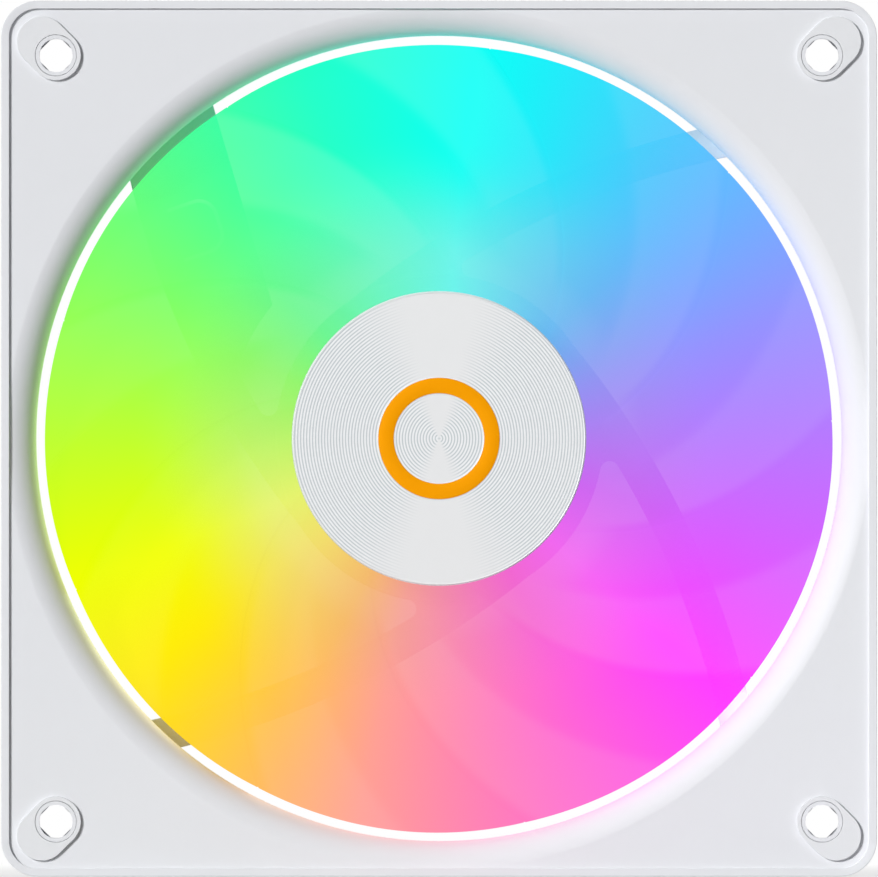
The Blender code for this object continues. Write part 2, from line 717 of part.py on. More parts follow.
def rotor_motor():
    """The steel cup with its magnet, and the shaft that carries the rotor."""
    hole = bush_outer + CLEARANCE
    profile = [
        (hole, yoke_top),
        (yoke_outer, yoke_top),
        (yoke_outer, yoke_rear),
        (yoke_inner, yoke_rear),
        (yoke_inner, yoke_ceiling),
        (hole, yoke_ceiling),
    ]
    finish(turned("rotor_yoke", profile, MOTOR_SEGMENTS), steel, rotor_axis)
    magnet_top = yoke_ceiling - CLEARANCE
    magnet = ring("magnet_ring", magnet_inner, magnet_outer, yoke_rear + MAGNET_SETBACK, magnet_top,
                  MOTOR_SEGMENTS)
    finish(magnet, ferrite, rotor_axis)
    bush = ring("shaft_bush", bush_inner, bush_outer, bush_bottom, yoke_top, SMALL_SEGMENTS)
    finish(bush, brass, rotor_axis)

    groove = SHAFT_RADIUS - 2 * CLEARANCE
    chamfer = CLEARANCE
    profile = [
        (0, yoke_top),
        (SHAFT_RADIUS - chamfer, yoke_top),
        (SHAFT_RADIUS, yoke_top - chamfer),
        (SHAFT_RADIUS, clip_top + RUNNING_GAP),
        (groove, clip_top + RUNNING_GAP),
        (groove, clip_bottom - RUNNING_GAP),
        (SHAFT_RADIUS, clip_bottom - RUNNING_GAP),
        (SHAFT_RADIUS, shaft_bottom + chamfer),
        (SHAFT_RADIUS - chamfer, shaft_bottom),
        (0, shaft_bottom),
    ]
    finish(turned("shaft", profile, SMALL_SEGMENTS), steel, rotor_axis)
    clip_inner = groove + CLEARANCE
    clip = ring("retaining_clip", clip_inner, clip_inner + CLIP_WIDTH, clip_bottom, clip_top,
                SMALL_SEGMENTS)
    finish(clip, nylon, rotor_axis)


def bearing():
    sleeve = ring("bearing_sleeve", bearing_inner, bearing_outer, bearing_bottom, bearing_top,
                  SMALL_SEGMENTS)
    finish(sleeve, brass)
    seal = ring("oil_seal_ring", bush_inner, bearing_outer, seal_bottom, seal_top, SMALL_SEGMENTS)
    finish(seal, nylon)
    finish(disc("thrust_pad", bearing_outer, thrust_bottom, thrust_top, SMALL_SEGMENTS), nylon)
    end_cap = disc("bearing_end_cap", bearing_outer, sunk_face, end_cap_top, SMALL_SEGMENTS)
    finish(end_cap, white_plastic)


def stator_outline(shrink):
    """A ring with poles: each has a straight neck and a shoe that follows the magnet."""
    radius = stator_radius - shrink
    ring_radius = stator_ring - shrink
    half_neck = pole_neck / 2 - shrink
    shoe = stator_radius * math.cos(POLE_HALF_SPAN) - pole_tip + shrink
    half_span = POLE_HALF_SPAN - shrink / stator_radius
    tip = radius * math.sin(half_span)
    neck_angle = math.asin(half_neck / ring_radius)
    points = []
    for pole in range(POLE_COUNT):
        turn = math.tau * (pole + 0.5) / POLE_COUNT
        outline = [polar(ring_radius, -neck_angle), (shoe, -half_neck), (shoe, -tip)]
        outline += arc((0, 0), radius, -half_span, half_span, 8)
        outline += [(shoe, tip), (shoe, half_neck)]
        next_neck = math.tau / POLE_COUNT - neck_angle
        outline += arc((0, 0), ring_radius, neck_angle, next_neck, 4)[:-1]
        points += rotated(outline, turn)
    return points


def stator():
    bore = circle((0, 0), stator_bore, SMALL_SEGMENTS)
    core = plate("stator_core", [stator_outline(0), bore], stator_bottom, stator_top)
    finish(core, steel)
    thin = [stator_outline(CLEARANCE), bore]
    upper = plate("upper_insulator", thin, insulator_top - INSULATOR_THICKNESS, insulator_top)
    lower = plate("lower_insulator", thin, insulator_bottom, insulator_bottom + INSULATOR_THICKNESS)
    finish(upper, nylon)
    finish(lower, nylon)

    inner_end = stator_ring + CLEARANCE
    outer_end = stator_radius * math.cos(POLE_HALF_SPAN) - pole_tip - CLEARANCE
    length = outer_end - inner_end
    half_opening = pole_neck / 2 + CLEARANCE
    half_width = half_opening + COIL_THICKNESS
    middle = (inner_end + outer_end) / 2
    for pole in range(POLE_COUNT):
        turn = math.tau * (pole + 0.5) / POLE_COUNT
        place = (middle, stator_middle)
        coil = box(f"coil_{pole + 1}", (length, 2 * half_width, coil_top - coil_bottom), place, turn)
        rounding = coil.modifiers.new("Wound corners", "BEVEL")
        rounding.width = COIL_THICKNESS / 2
        rounding.segments = 2
        opening_height = insulator_top - insulator_bottom + 2 * CLEARANCE
        opening_size = (2 * length, 2 * half_opening, opening_height)
        opening = box(f"coil_opening_{pole + 1}", opening_size, place, turn)
        combine(coil, "DIFFERENCE", opening)
        finish(coil, copper)


def board():
    outline = circle((0, 0), board_radius, MOTOR_SEGMENTS)
    bore = circle((0, 0), stator_bore, SMALL_SEGMENTS)
    finish(plate("motor_board", [outline, bore], board_bottom, board_top), green_board)
    seat = board_top + CLEARANCE
    middle = (stator_bore + board_radius) / 2

    chip = box("driver_chip", (CHIP_SIZE, CHIP_SIZE, CHIP_HEIGHT), (middle, seat + CHIP_HEIGHT / 2))
    finish(chip, black_plastic)
    under_gap = (magnet_inner + stator_radius) / 2
    sensor_place = (under_gap, seat + SENSOR_SIZE[2] / 2)
    finish(box("hall_sensor", SENSOR_SIZE, sensor_place, math.pi / 2), black_plastic)
    capacitor_place = (middle, seat + CAPACITOR_SIZE[2] / 2)
    finish(box("capacitor", CAPACITOR_SIZE, capacitor_place, math.pi), nylon)
    led_place = (board_radius - LED_SIZE, seat + LED_HEIGHT / 2)
    for led in range(LED_COUNT):
        turn = math.tau * (led + 0.5) / LED_COUNT
        lamp = box(f"led_{led + 1}", (LED_SIZE, LED_SIZE, LED_HEIGHT), led_place, turn)
        finish(lamp, led_white)


clear_scene()
parts = new_collection("case_fan")
helpers = new_collection("cutters")
fan_axis = new_empty("fan_axis")
fan_axis.location = (0, 0, FRAME_SIZE / 2)
fan_axis.rotation_euler = (math.pi / 2, 0, 0)
rotor_axis = new_empty("rotor_axis", fan_axis)

white_plastic = material("white_plastic", (0.74, 0.76, 0.79), 0.42)
white_rubber = material("white_rubber", (0.72, 0.74, 0.77), 0.60)
lit_plastic = material("lit_plastic", (0.86, 0.88, 0.90), 0.30)
spun_metal = material("spun_metal", (0.76, 0.78, 0.79), 0.35, 0.6)
accent_paint = material("accent_paint", (0.90, 0.34, 0.002), 0.40)
steel = material("steel", (0.55, 0.56, 0.58), 0.35, 1.0)
ferrite = material("ferrite", (0.06, 0.06, 0.065), 0.55)
brass = material("brass", (0.72, 0.50, 0.20), 0.32, 1.0)
copper = material("copper", (0.70, 0.28, 0.12), 0.35, 0.9)
nylon = material("nylon", (0.70, 0.68, 0.62), 0.50)
green_board = material("green_board", (0.02, 0.16, 0.07), 0.45)
black_plastic = material("black_plastic", (0.02, 0.02, 0.022), 0.50)
led_white = material("led_white", (0.88, 0.86, 0.70), 0.30)

fan_frame()
corner_pads()
impeller()
hub_cap()
rotor_motor()
bearing()
stator()
board()
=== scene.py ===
import json
import math
import bpy
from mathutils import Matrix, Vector


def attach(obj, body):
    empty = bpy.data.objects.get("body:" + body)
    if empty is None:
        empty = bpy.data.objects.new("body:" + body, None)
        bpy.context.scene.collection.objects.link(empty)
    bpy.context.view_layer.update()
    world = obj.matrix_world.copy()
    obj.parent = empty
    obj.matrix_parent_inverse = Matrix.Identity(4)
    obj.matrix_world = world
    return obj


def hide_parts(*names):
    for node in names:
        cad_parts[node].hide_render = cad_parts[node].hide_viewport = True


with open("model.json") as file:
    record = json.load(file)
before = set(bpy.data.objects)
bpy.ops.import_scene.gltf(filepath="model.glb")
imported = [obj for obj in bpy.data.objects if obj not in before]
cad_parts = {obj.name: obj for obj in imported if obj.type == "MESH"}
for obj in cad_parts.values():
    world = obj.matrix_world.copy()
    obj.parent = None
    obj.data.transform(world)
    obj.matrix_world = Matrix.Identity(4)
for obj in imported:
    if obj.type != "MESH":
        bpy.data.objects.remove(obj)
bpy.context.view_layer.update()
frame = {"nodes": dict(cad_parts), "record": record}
print("frame loaded:", len(frame["nodes"]), "nodes")

mm = 0.001
axisHeight = 60.0  # fan axis above the floor, in millimetres
quarterTurn = math.pi / 2
eighthTurn = math.pi / 4
viewDistance = 5013.0  # from where the blade tips are seen as one circle, in millimetres
weldReach = 0.0000005  # points this close are welded, in metres
roundIn = 0.29  # how far in the middle of a rounded corner lies, as a share of its radius

# all shapes are given in millimetres from the fan axis: x to the right, up, and y to the rear


def spot(x, up, y):
    return Vector((x, y, up + axisHeight)) * mm


def polar(radius, angle):
    return (radius * math.cos(angle), radius * math.sin(angle))


def arc(centre, radius, start, end, steps):
    points = []
    for step in range(steps + 1):
        x, up = polar(radius, start + (end - start) * step / steps)
        points.append((centre[0] + x, centre[1] + up))
    return points


def circle(centre, radius, steps):
    return arc(centre, radius, 0, math.tau, steps)[:-1]


def turned(points, angle):
    cosine, sine = math.cos(angle), math.sin(angle)
    return [(x * cosine - up * sine, x * sine + up * cosine) for x, up in points]


# modelling steps


def clearSelection():
    if bpy.context.object and bpy.context.object.mode != "OBJECT":
        bpy.ops.object.mode_set(mode="OBJECT")
    bpy.ops.object.select_all(action="DESELECT")


def choose(*objs):
    clearSelection()
    for obj in objs:
        obj.select_set(True)
    bpy.context.view_layer.objects.active = objs[0]


def settle(obj):  # put the place of a piece into its mesh
    choose(obj)
    bpy.ops.object.transform_apply(location=True, rotation=True, scale=True)
    return obj


def drawLine(name, points):  # one vertex, drawn out along the points; stays in edit mode
    clearSelection()
    bpy.ops.mesh.primitive_plane_add(size=mm, location=points[0])
    obj = bpy.context.object
    obj.name = name
    obj.data.name = name
    bpy.ops.object.mode_set(mode="EDIT")
    bpy.ops.mesh.select_all(action="SELECT")
    bpy.ops.mesh.merge(type="CENTER")
    for start, end in zip(points, points[1:]):
        bpy.ops.mesh.extrude_vertices_move(TRANSFORM_OT_translate={"value": end - start})
    return obj


def closeMesh(obj):  # weld and face outwards, then leave edit mode
    bpy.ops.mesh.select_all(action="SELECT")
    bpy.ops.mesh.remove_doubles(threshold=weldReach)
    bpy.ops.mesh.normals_make_consistent(inside=False)
    bpy.ops.object.mode_set(mode="OBJECT")
    return settle(obj)


# a flat outline, drawn out along the axis
def block(name, outline, yStart, yEnd, taper=1.0, centre=(0, 0)):
    obj = drawLine(name, [spot(x, up, yStart) for x, up in outline])
    bpy.ops.mesh.select_all(action="SELECT")
    bpy.ops.mesh.edge_face_add()
    bpy.ops.mesh.extrude_region_move(TRANSFORM_OT_translate={"value": (0, (yEnd - yStart) * mm, 0)})
    if taper != 1.0:  # the far end is made wider or narrower about its centre
        bpy.ops.transform.resize(value=(taper, 1, taper), center_override=spot(*centre, yEnd))
    return closeMesh(obj)


def lathe(name, profile, steps):  # a profile of radius and y, spun about the fan axis
    loop = list(profile)
    if profile[0][0] > 0:
        loop.append(profile[0])
    obj = drawLine(name, [spot(radius, 0, y) for radius, y in loop])
    bpy.ops.mesh.select_all(action="SELECT")
    bpy.ops.mesh.remove_doubles(threshold=weldReach)
    bpy.ops.mesh.select_all(action="SELECT")
    bpy.ops.mesh.spin(steps=steps, angle=math.tau, center=spot(0, 0, 0), axis=(0, 1, 0))
    return closeMesh(obj)


def applyAll(obj):
    choose(obj)
    for modifier in list(obj.modifiers):
        bpy.ops.object.modifier_apply(modifier=modifier.name)
    return obj


def combine(obj, operation, *tools):  # boolean steps, each applied, the tools used up
    for tool in tools:
        step = obj.modifiers.new("step", "BOOLEAN")
        step.operation = operation
        step.solver = "EXACT"
        step.object = tool
        applyAll(obj)
        bpy.data.objects.remove(tool, do_unlink=True)
    return obj


def soften(obj, width, segments=2, angle=45):  # rounds the edges that are sharper than the angle
    bevel = obj.modifiers.new("soften", "BEVEL")
    bevel.width = width * mm
    bevel.segments = segments
    bevel.limit_method = "ANGLE"
    bevel.angle_limit = math.radians(angle)
    bevel.use_clamp_overlap = True
    return applyAll(obj)


def softenEdges(obj, width, segments, wanted):  # rounds only the edges that are wanted
    choose(obj)
    bpy.ops.object.mode_set(mode="EDIT")
    bpy.ops.mesh.select_mode(type="EDGE")
    bpy.ops.mesh.select_all(action="DESELECT")
    bpy.ops.object.mode_set(mode="OBJECT")
    corners = [vert.co / mm for vert in obj.data.vertices]
    for edge in obj.data.edges:
        edge.select = wanted(corners[edge.vertices[0]], corners[edge.vertices[1]])
    bpy.ops.object.mode_set(mode="EDIT")
    bpy.ops.mesh.bevel(offset=width * mm, segments=segments, affect="EDGES", clamp_overlap=True)
    bpy.ops.mesh.select_mode(type="VERT")
    return closeMesh(obj)


def copyRound(obj, count):  # copies turned about the fan axis
    copies = [obj]
    for step in range(1, count):
        choose(obj)
        bpy.ops.object.duplicate()
        copy = bpy.context.object
        bpy.ops.object.mode_set(mode="EDIT")
        bpy.ops.mesh.select_all(action="SELECT")
        bpy.ops.transform.rotate(value=math.tau * step / count, orient_axis="Y",
                                 orient_type="GLOBAL", center_override=spot(0, 0, 0))
        bpy.ops.object.mode_set(mode="OBJECT")
        copies.append(copy)
    return copies


def joinAll(objs):
    choose(*objs)
    bpy.ops.object.join()
    return objs[0]


def evenShade(obj, angle=32):  # smooth shading between sharp edges, flat faces kept flat
    choose(obj)
    bpy.ops.object.shade_smooth_by_angle(angle=math.radians(angle))
    obj.modifiers.new("even", "WEIGHTED_NORMAL").keep_sharp = True
    return applyAll(obj)


def roundedSquare(half, radius, steps):
    points = []
    for quarter in range(4):
        corner = polar((half - radius) * math.sqrt(2), quarterTurn * (quarter + 0.5))
        points += arc(corner, radius, quarterTurn * quarter, quarterTurn * (quarter + 1), steps)
    return points


# frame: two flanges, duct, corner posts, struts and motor base in one moulding

frameShape = {
    "half": 60.0, "front": -12.5, "rear": 12.5, "corners": 4, "cornerRadius": 5.0,
    "cornerSteps": 14, "flange": 3.6, "frontEdge": 0.08, "edge": 0.30, "rimWidth": 1.1,
    "rimHeight": 0.50, "rimSoft": 0.03, "rimDraft": 0.012,
    # shares of the soft edge, inwards and down, at the top and at the foot of the rim
    "rimEdge": ((0.5, 0.13), (0.37, 0.37), (0.13, 0.5)), "rimFoot": ((0.3, 0.7), (0.6, 0.3)),
    "ductRadius": 55.22, "ductWall": 1.9, "ductDraft": 0.25, "lip": 4.28, "lipSteps": 12,
    "outletChamfer": 1.0, "holePlace": 52.5, "holeRadius": 2.2, "holeFlat": 0.18, "flatSteps": 9,
    "holeLead": 6.0, "leadStep": 0.08, "leadSteps": 48, "holeTaper": 1.19, "postWall": 2.0,
    "postSteps": 40, "ribWidth": 1.6, "roundSteps": 192,
}
padShape = {
    "radius": 3.43, "reach": 2.72, "hole": 2.85, "pocket": 0.6, "proud": 0.05, "gap": 0.01,
    "rearGap": 0.14, "collarGap": 0.05, "collarEdge": 0.05, "edge": 0.06, "steps": 18,
    "holeSteps": 48,
}
strutShape = {
    "count": 4, "width": 4.58, "front": 8.8, "rear": 12.0, "bend": 121.45,
    "direction": math.radians(-49.73), "fillet": 1.3, "edge": 0.35, "steps": 22, "backSteps": 6,
    "filletSteps": 12, "end": 56.75, "gap": 0.15,
    "softFrom": 25.9, "softLength": 0.2, "softLevel": 0.001,  # which edges are softened
}
baseShape = {
    "radius": 22.6, "dish": 20.3, "root": 21.45, "top": 8.6, "rear": 12.2, "floor": 10.6,
    "sunk": 11.9, "soft": 0.3, "chamfer": 0.6, "brim": 0.1, "brimRise": 0.04, "slope": 0.3,
    "tubeInner": 3.799, "tubeOuter": 4.607, "tubeTop": -4.39, "steps": 128,
}
cableShape = {
    "strut": 1, "angle": math.radians(16.6), "offset": 16.7, "gap": 6.8, "wall": 0.9, "top": 10.0,
    "endSteps": 14, "sideSteps": 12, "notch": 6.0, "notchGap": 0.03, "hookLength": 6.2,
    "hookWidth": 7.2, "hookSlit": 0.5, "hookCorner": 2.4, "hookSteps": 9, "hookRadius": 44.1,
    "hookAngle": math.radians(49.0), "hookTurn": math.radians(-71.0),
}


def roundOver(edge):  # inset steps that round an edge: how far in, how far out
    steps = []
    for low, high in ((0, 30), (30, 60), (60, 90)):
        low, high = math.radians(low), math.radians(high)
        inward, outward = math.cos(low) - math.cos(high), math.sin(high) - math.sin(low)
        steps.append((edge * inward, edge * outward))
    return steps


def insetFace(obj, facing, steps):  # works on the large flat face that looks along facing
    choose(obj)
    bpy.ops.object.mode_set(mode="EDIT")
    bpy.ops.mesh.select_mode(type="FACE")
    bpy.ops.mesh.select_all(action="DESELECT")
    bpy.ops.object.mode_set(mode="OBJECT")
    squareOn = 0.99  # least length of a normal along facing
    flat = [face for face in obj.data.polygons if face.normal.y * facing > squareOn]
    max(flat, key=lambda face: face.area).select = True
    bpy.ops.object.mode_set(mode="EDIT")
    for inward, outward in steps:
        bpy.ops.mesh.inset(thickness=inward * mm, depth=outward * mm)
    bpy.ops.mesh.select_mode(type="VERT")
    bpy.ops.object.mode_set(mode="OBJECT")


def flangePlate(name, yFront, yRear, raisedRim):
    shape = frameShape
    edge = shape["frontEdge"] if raisedRim else shape["edge"]
    outline = roundedSquare(shape["half"], shape["cornerRadius"], shape["cornerSteps"])
    plate = block(name, outline, yFront + edge, yRear - shape["edge"])
    steps = roundOver(edge)
    if raisedRim:  # flat top of the rim, its inner edge, its wall and the small hollow at its foot
        soft = shape["rimSoft"]
        steps.append((shape["rimWidth"] - edge - soft - soft, 0))
        steps += [(soft * inward, -soft * down) for inward, down in shape["rimEdge"]]
        steps.append((shape["rimDraft"], -(shape["rimHeight"] - soft - soft)))
        steps += [(soft * inward, -soft * down) for inward, down in shape["rimFoot"]]
    insetFace(plate, -1, steps)
    insetFace(plate, 1, roundOver(shape["edge"]))
    return plate


def strutAngle(radius, inset):  # where a line set in from the outer edge crosses a radius
    shape = strutShape
    bend = shape["bend"] - inset
    away = shape["bend"] - baseShape["radius"] + shape["gap"]
    cosine = (radius**2 + away**2 - bend**2) / (2 * radius * away)
    return shape["direction"] + math.acos(max(-1.0, min(1.0, cosine)))


def strutLine(inset, start, end, steps):
    points = []
    for step in range(steps + 1):
        radius = start + (end - start) * (step / steps) ** 2
        points.append(polar(radius, strutAngle(radius, inset)))
    return points


def strutOutline():
    shape, root = strutShape, baseShape["root"]
    outer = strutLine(0, baseShape["radius"] - shape["gap"], shape["end"], shape["steps"])
    inner = strutLine(shape["width"], root, shape["end"], shape["steps"])
    start = strutAngle(root, shape["width"])
    back = arc((0, 0), root, start, shape["direction"] + math.pi, shape["backSteps"])
    return outer + inner[::-1] + back[1:]


def filletOutline():  # fills the narrow corner between a strut and the base
    fillet, base = strutShape["fillet"], baseShape["radius"]
    reach = base + fillet
    angle = strutAngle(reach, strutShape["width"] + fillet)
    centre = polar(reach, angle)
    away = strutShape["bend"] - base + strutShape["gap"]
    bend = polar(away, strutShape["direction"])
    toStrut = math.atan2(centre[1] - bend[1], centre[0] - bend[0])
    toBase = angle + math.pi
    while toBase - toStrut > math.pi:
        toBase -= math.tau
    while toBase - toStrut < -math.pi:
        toBase += math.tau
    inBase = polar(baseShape["root"], angle)
    inCorner = polar(baseShape["root"], strutAngle(baseShape["root"], strutShape["width"] / 2))
    strutSide = base + 2 * fillet
    inStrut = polar(strutSide, strutAngle(strutSide, strutShape["width"] / 2))
    hollow = arc(centre, fillet, toStrut, toBase, strutShape["filletSteps"])
    return hollow + [inBase, inCorner, inStrut]


def wingOutline(inset, end):
    start = baseShape["radius"] + cableShape["gap"] + inset
    offset = cableShape["offset"] + inset
    middle = strutShape["width"] / 2
    edgeStart = cableShape["angle"] + math.asin(offset / start)
    edgeEnd = cableShape["angle"] + math.asin(offset / end)
    innerEnd = arc((0, 0), start, edgeStart, strutAngle(start, middle), cableShape["endSteps"])
    side = strutLine(middle, start, end, cableShape["sideSteps"])
    return [polar(end, edgeEnd)] + innerEnd + side[1:]


def channelOutline():
    wall = cableShape["wall"]
    start, end = baseShape["dish"] - wall, frameShape["ductRadius"] - frameShape["ductWall"]
    outer = strutLine(wall, start, end, strutShape["steps"])
    inner = strutLine(strutShape["width"] - wall, start, end, strutShape["steps"])
    return outer + inner[::-1]


def notchOutline():
    # just inside the wing's pocket
    low = cableShape["offset"] + cableShape["wall"] + cableShape["notchGap"]
    high = low + cableShape["notch"]
    start, end = frameShape["ductRadius"] - frameShape["ductWall"], 2 * frameShape["half"]
    return turned([(start, low), (end, low), (end, high), (start, high)], cableShape["angle"])


def hookOutline():  # U-shaped slit round the spring tongue
    half, length = cableShape["hookWidth"] / 2, cableShape["hookLength"] / 2
    corner, steps, slit = cableShape["hookCorner"], cableShape["hookSteps"], cableShape["hookSlit"]
    sides = []
    for grow in (slit / 2, -slit / 2):
        reach, radius, across = length + grow, corner + grow, half + grow
        side = [(-length, -across)]
        side += arc((reach - radius, -across + radius), radius, -quarterTurn, 0, steps)
        side += arc((reach - radius, across - radius), radius, 0, quarterTurn, steps)
        sides.append(side + [(-length, across)])
    outline = turned(sides[0] + sides[1][::-1], cableShape["hookTurn"])
    middle = polar(cableShape["hookRadius"], cableShape["hookAngle"])
    return [(x + middle[0], up + middle[1]) for x, up in outline]


def padOutline(grow):  # from the screw hole towards the outer corner
    place, radius, steps = frameShape["holePlace"], padShape["radius"] + grow, padShape["steps"]
    left, right = eighthTurn + quarterTurn, eighthTurn - quarterTurn
    reach = polar(padShape["reach"], eighthTurn)
    far = arc((place + reach[0], place + reach[1]), radius, right, left, steps)
    near = arc((place, place), radius, left, eighthTurn + 3 * quarterTurn, steps)
    return far + near


def holeOutline(radius, flat, steps):  # round, with flats that face the diagonals
    place = frameShape["holePlace"]
    spread = math.acos(1 - flat / radius)
    points = []
    for quarter in range(4):
        diagonal = eighthTurn + quarter * quarterTurn
        start, end = diagonal + spread, diagonal + quarterTurn - spread
        points += arc((place, place), radius, start, end, steps)
    return points


def ductCutter():
    shape = frameShape
    front, rear = shape["front"], shape["rear"]
    beyond, within, above = 4, 3, 0.02  # how far the cutters pass both faces and the lip the panel
    panel = front + shape["rimHeight"]
    lip, radius = shape["lip"], shape["ductRadius"]
    profile = [(0, front - beyond), (radius + lip, front - beyond), (radius + lip, panel - above)]
    for step in range(1, shape["lipSteps"] + 1):
        turn = quarterTurn * step / shape["lipSteps"]
        profile.append((radius + lip * (1 - math.sin(turn)), panel + lip * (1 - math.cos(turn))))
    outlet, chamfer = radius + shape["ductDraft"], shape["outletChamfer"]
    profile += [(outlet, rear - chamfer), (outlet + chamfer, rear)]
    profile += [(outlet + chamfer, rear + beyond), (0, rear + beyond)]
    cutter = lathe("ductCutter", profile, shape["roundSteps"])
    inner = shape["half"] - shape["rimWidth"]  # the rounded edge stops at the rim
    inside = roundedSquare(inner, shape["cornerRadius"] - shape["rimWidth"], shape["cornerSteps"])
    return combine(cutter, "INTERSECT", block("insideRim", inside, front - within, rear + within))


def motorBase():
    shape = baseShape
    radius, dish, top, rear = shape["radius"], shape["dish"], shape["top"], shape["rear"]
    soft, chamfer = shape["soft"], shape["chamfer"]
    profile = [
        (shape["tubeInner"], shape["tubeTop"]), (shape["tubeOuter"], shape["tubeTop"]),
        (shape["tubeOuter"], shape["floor"]), (dish, shape["floor"]), (dish, top),
        (radius - soft, top), (radius - soft * roundIn, top + soft * roundIn),
        (radius, top + soft), (radius, rear - chamfer),
        (radius - chamfer * roundIn, rear - chamfer * roundIn), (radius - chamfer, rear),
        (dish + shape["brim"], rear), (dish, rear + shape["brimRise"]),
        (dish - shape["slope"], shape["sunk"]), (shape["tubeInner"], shape["sunk"]),
    ]
    return lathe("motorBase", profile, shape["steps"])


# long edges of a strut, clear of its root and of its end in the duct wall
def alongStrut(start, end):
    away = [math.hypot(point.x, point.z - axisHeight) for point in (start, end)]
    level = abs(start.y - end.y) < strutShape["softLevel"]
    outside = min(away) > strutShape["softFrom"]
    return level and outside and max(away) - min(away) > strutShape["softLength"]


def makeSpider(turn):  # motor base with its struts, their fillets and the wing
    shape = strutShape
    front, rear, count = shape["front"], shape["rear"], shape["count"]
    strut = softenEdges(block("strut", strutOutline(), front, rear), shape["edge"], 3, alongStrut)
    flush = 0.01  # keeps the flat faces of neighbours apart, too little to show
    fillet = block("fillet", filletOutline(), front + flush, rear - flush)
    wingLine = turned(wingOutline(0, shape["end"]), turn)
    wing = block("wing", wingLine, front + 2 * flush, rear - 2 * flush)
    return combine(motorBase(), "UNION", *copyRound(strut, count), *copyRound(fillet, count), wing)


def makeFrame():
    shape = frameShape
    reach = shape["flange"] / 2  # how far pieces pass into neighbours and tools past the faces
    front, rear, corners = shape["front"], shape["rear"], shape["corners"]
    body = flangePlate("fanFrame", front, front + shape["flange"], True)
    rearFlange = flangePlate("rearFlange", rear - shape["flange"], rear, False)
    outer = shape["ductRadius"] + shape["ductWall"]
    low, high = front + reach, rear - reach
    duct = lathe("duct", [(0, low), (outer, low), (outer, high), (0, high)], shape["roundSteps"])
    place = (shape["holePlace"], shape["holePlace"])
    postRound = circle(place, shape["holeRadius"] + shape["postWall"], shape["postSteps"])
    posts = joinAll(copyRound(block("posts", postRound, low, high), corners))
    far = shape["holePlace"] * math.sqrt(2)
    near, half = shape["ductRadius"], shape["ribWidth"] / 2
    ribOutline = turned([(near, -half), (far, -half), (far, half), (near, half)], eighthTurn)
    ribs = joinAll(copyRound(block("ribs", ribOutline, low, high), corners))
    combine(body, "UNION", rearFlange, duct, posts, ribs)
    print("frame: flanges, duct and posts joined")

    combine(body, "DIFFERENCE", ductCutter())
    turn = cableShape["strut"] * math.tau / strutShape["count"]
    combine(body, "UNION", makeSpider(turn))
    before, behind, top = front - reach, rear + reach, cableShape["top"]
    wingEnd = shape["ductRadius"] + shape["ductWall"] / 2
    channel = block("channel", turned(channelOutline(), turn), top, behind)
    pocketLine = turned(wingOutline(cableShape["wall"], wingEnd), turn)
    wingPocket = block("wingPocket", pocketLine, top, behind)
    notch = block("notch", turned(notchOutline(), turn), top, behind)
    slit = block("slit", turned(hookOutline(), turn), strutShape["front"] - reach, behind)
    combine(body, "DIFFERENCE", channel, wingPocket, notch, slit)
    print("frame: duct cut, struts, base and cable channel added")

    panel, pocket = front + shape["rimHeight"], padShape["pocket"]
    frontPockets = block("frontPockets", padOutline(padShape["gap"]), before, panel + pocket)
    rearPockets = block("rearPockets", padOutline(padShape["rearGap"]), rear - pocket, behind)
    collarRound = circle(place, padShape["hole"] - padShape["collarGap"], padShape["holeSteps"])
    frontCollars = block("frontCollars", collarRound, front, panel + 2 * pocket)
    rearCollars = block("rearCollars", collarRound, rear - 2 * pocket, rear)
    for collars in (frontCollars, rearCollars):
        soften(collars, padShape["collarEdge"])
    holeLine = holeOutline(shape["holeRadius"], shape["holeFlat"], shape["flatSteps"])
    holes = block("holes", holeLine, before, behind, shape["holeTaper"], place)
    leadRound = circle(place, shape["holeRadius"] + shape["leadStep"], shape["leadSteps"])
    leads = block("leads", leadRound, before, front + shape["holeLead"])
    around = [joinAll(copyRound(tool, corners))
              for tool in (frontPockets, rearPockets, frontCollars, rearCollars, holes, leads)]
    combine(body, "DIFFERENCE", *around[:2])
    combine(body, "UNION", *around[2:4])
    combine(body, "DIFFERENCE", *around[4:])
    print("frame: pockets and screw holes cut")
    return evenShade(body)


# pads round the screw holes, in pockets on both faces


def makePads():
    place = (frameShape["holePlace"], frameShape["holePlace"])
    floorGap, pocket, proud = padShape["gap"], padShape["pocket"], padShape["proud"]
    beyond = 1
    panel = frameShape["front"] + frameShape["rimHeight"]
    faces = {
        "front": (frameShape["front"] - proud, panel + pocket - floorGap),
        "rear": (frameShape["rear"] - pocket + floorGap, frameShape["rear"] + proud),
    }
    corners = ("top_right", "top_left", "bottom_left", "bottom_right")
    pads = {}
    for face, (yStart, yEnd) in faces.items():
        pad = block(face + "Pad", padOutline(0), yStart, yEnd)
        holeRound = circle(place, padShape["hole"], padShape["holeSteps"])
        hole = block("padHole", holeRound, yStart - beyond, yEnd + beyond)
        combine(pad, "DIFFERENCE", hole)
        soften(pad, padShape["edge"], 3)
        for corner, copy in zip(corners, copyRound(pad, frameShape["corners"])):
            pads[face + "_pad_" + corner] = evenShade(copy)
    print("pads made:", len(pads))
    return pads


# impeller: hub skirt and swept blades in one moulding

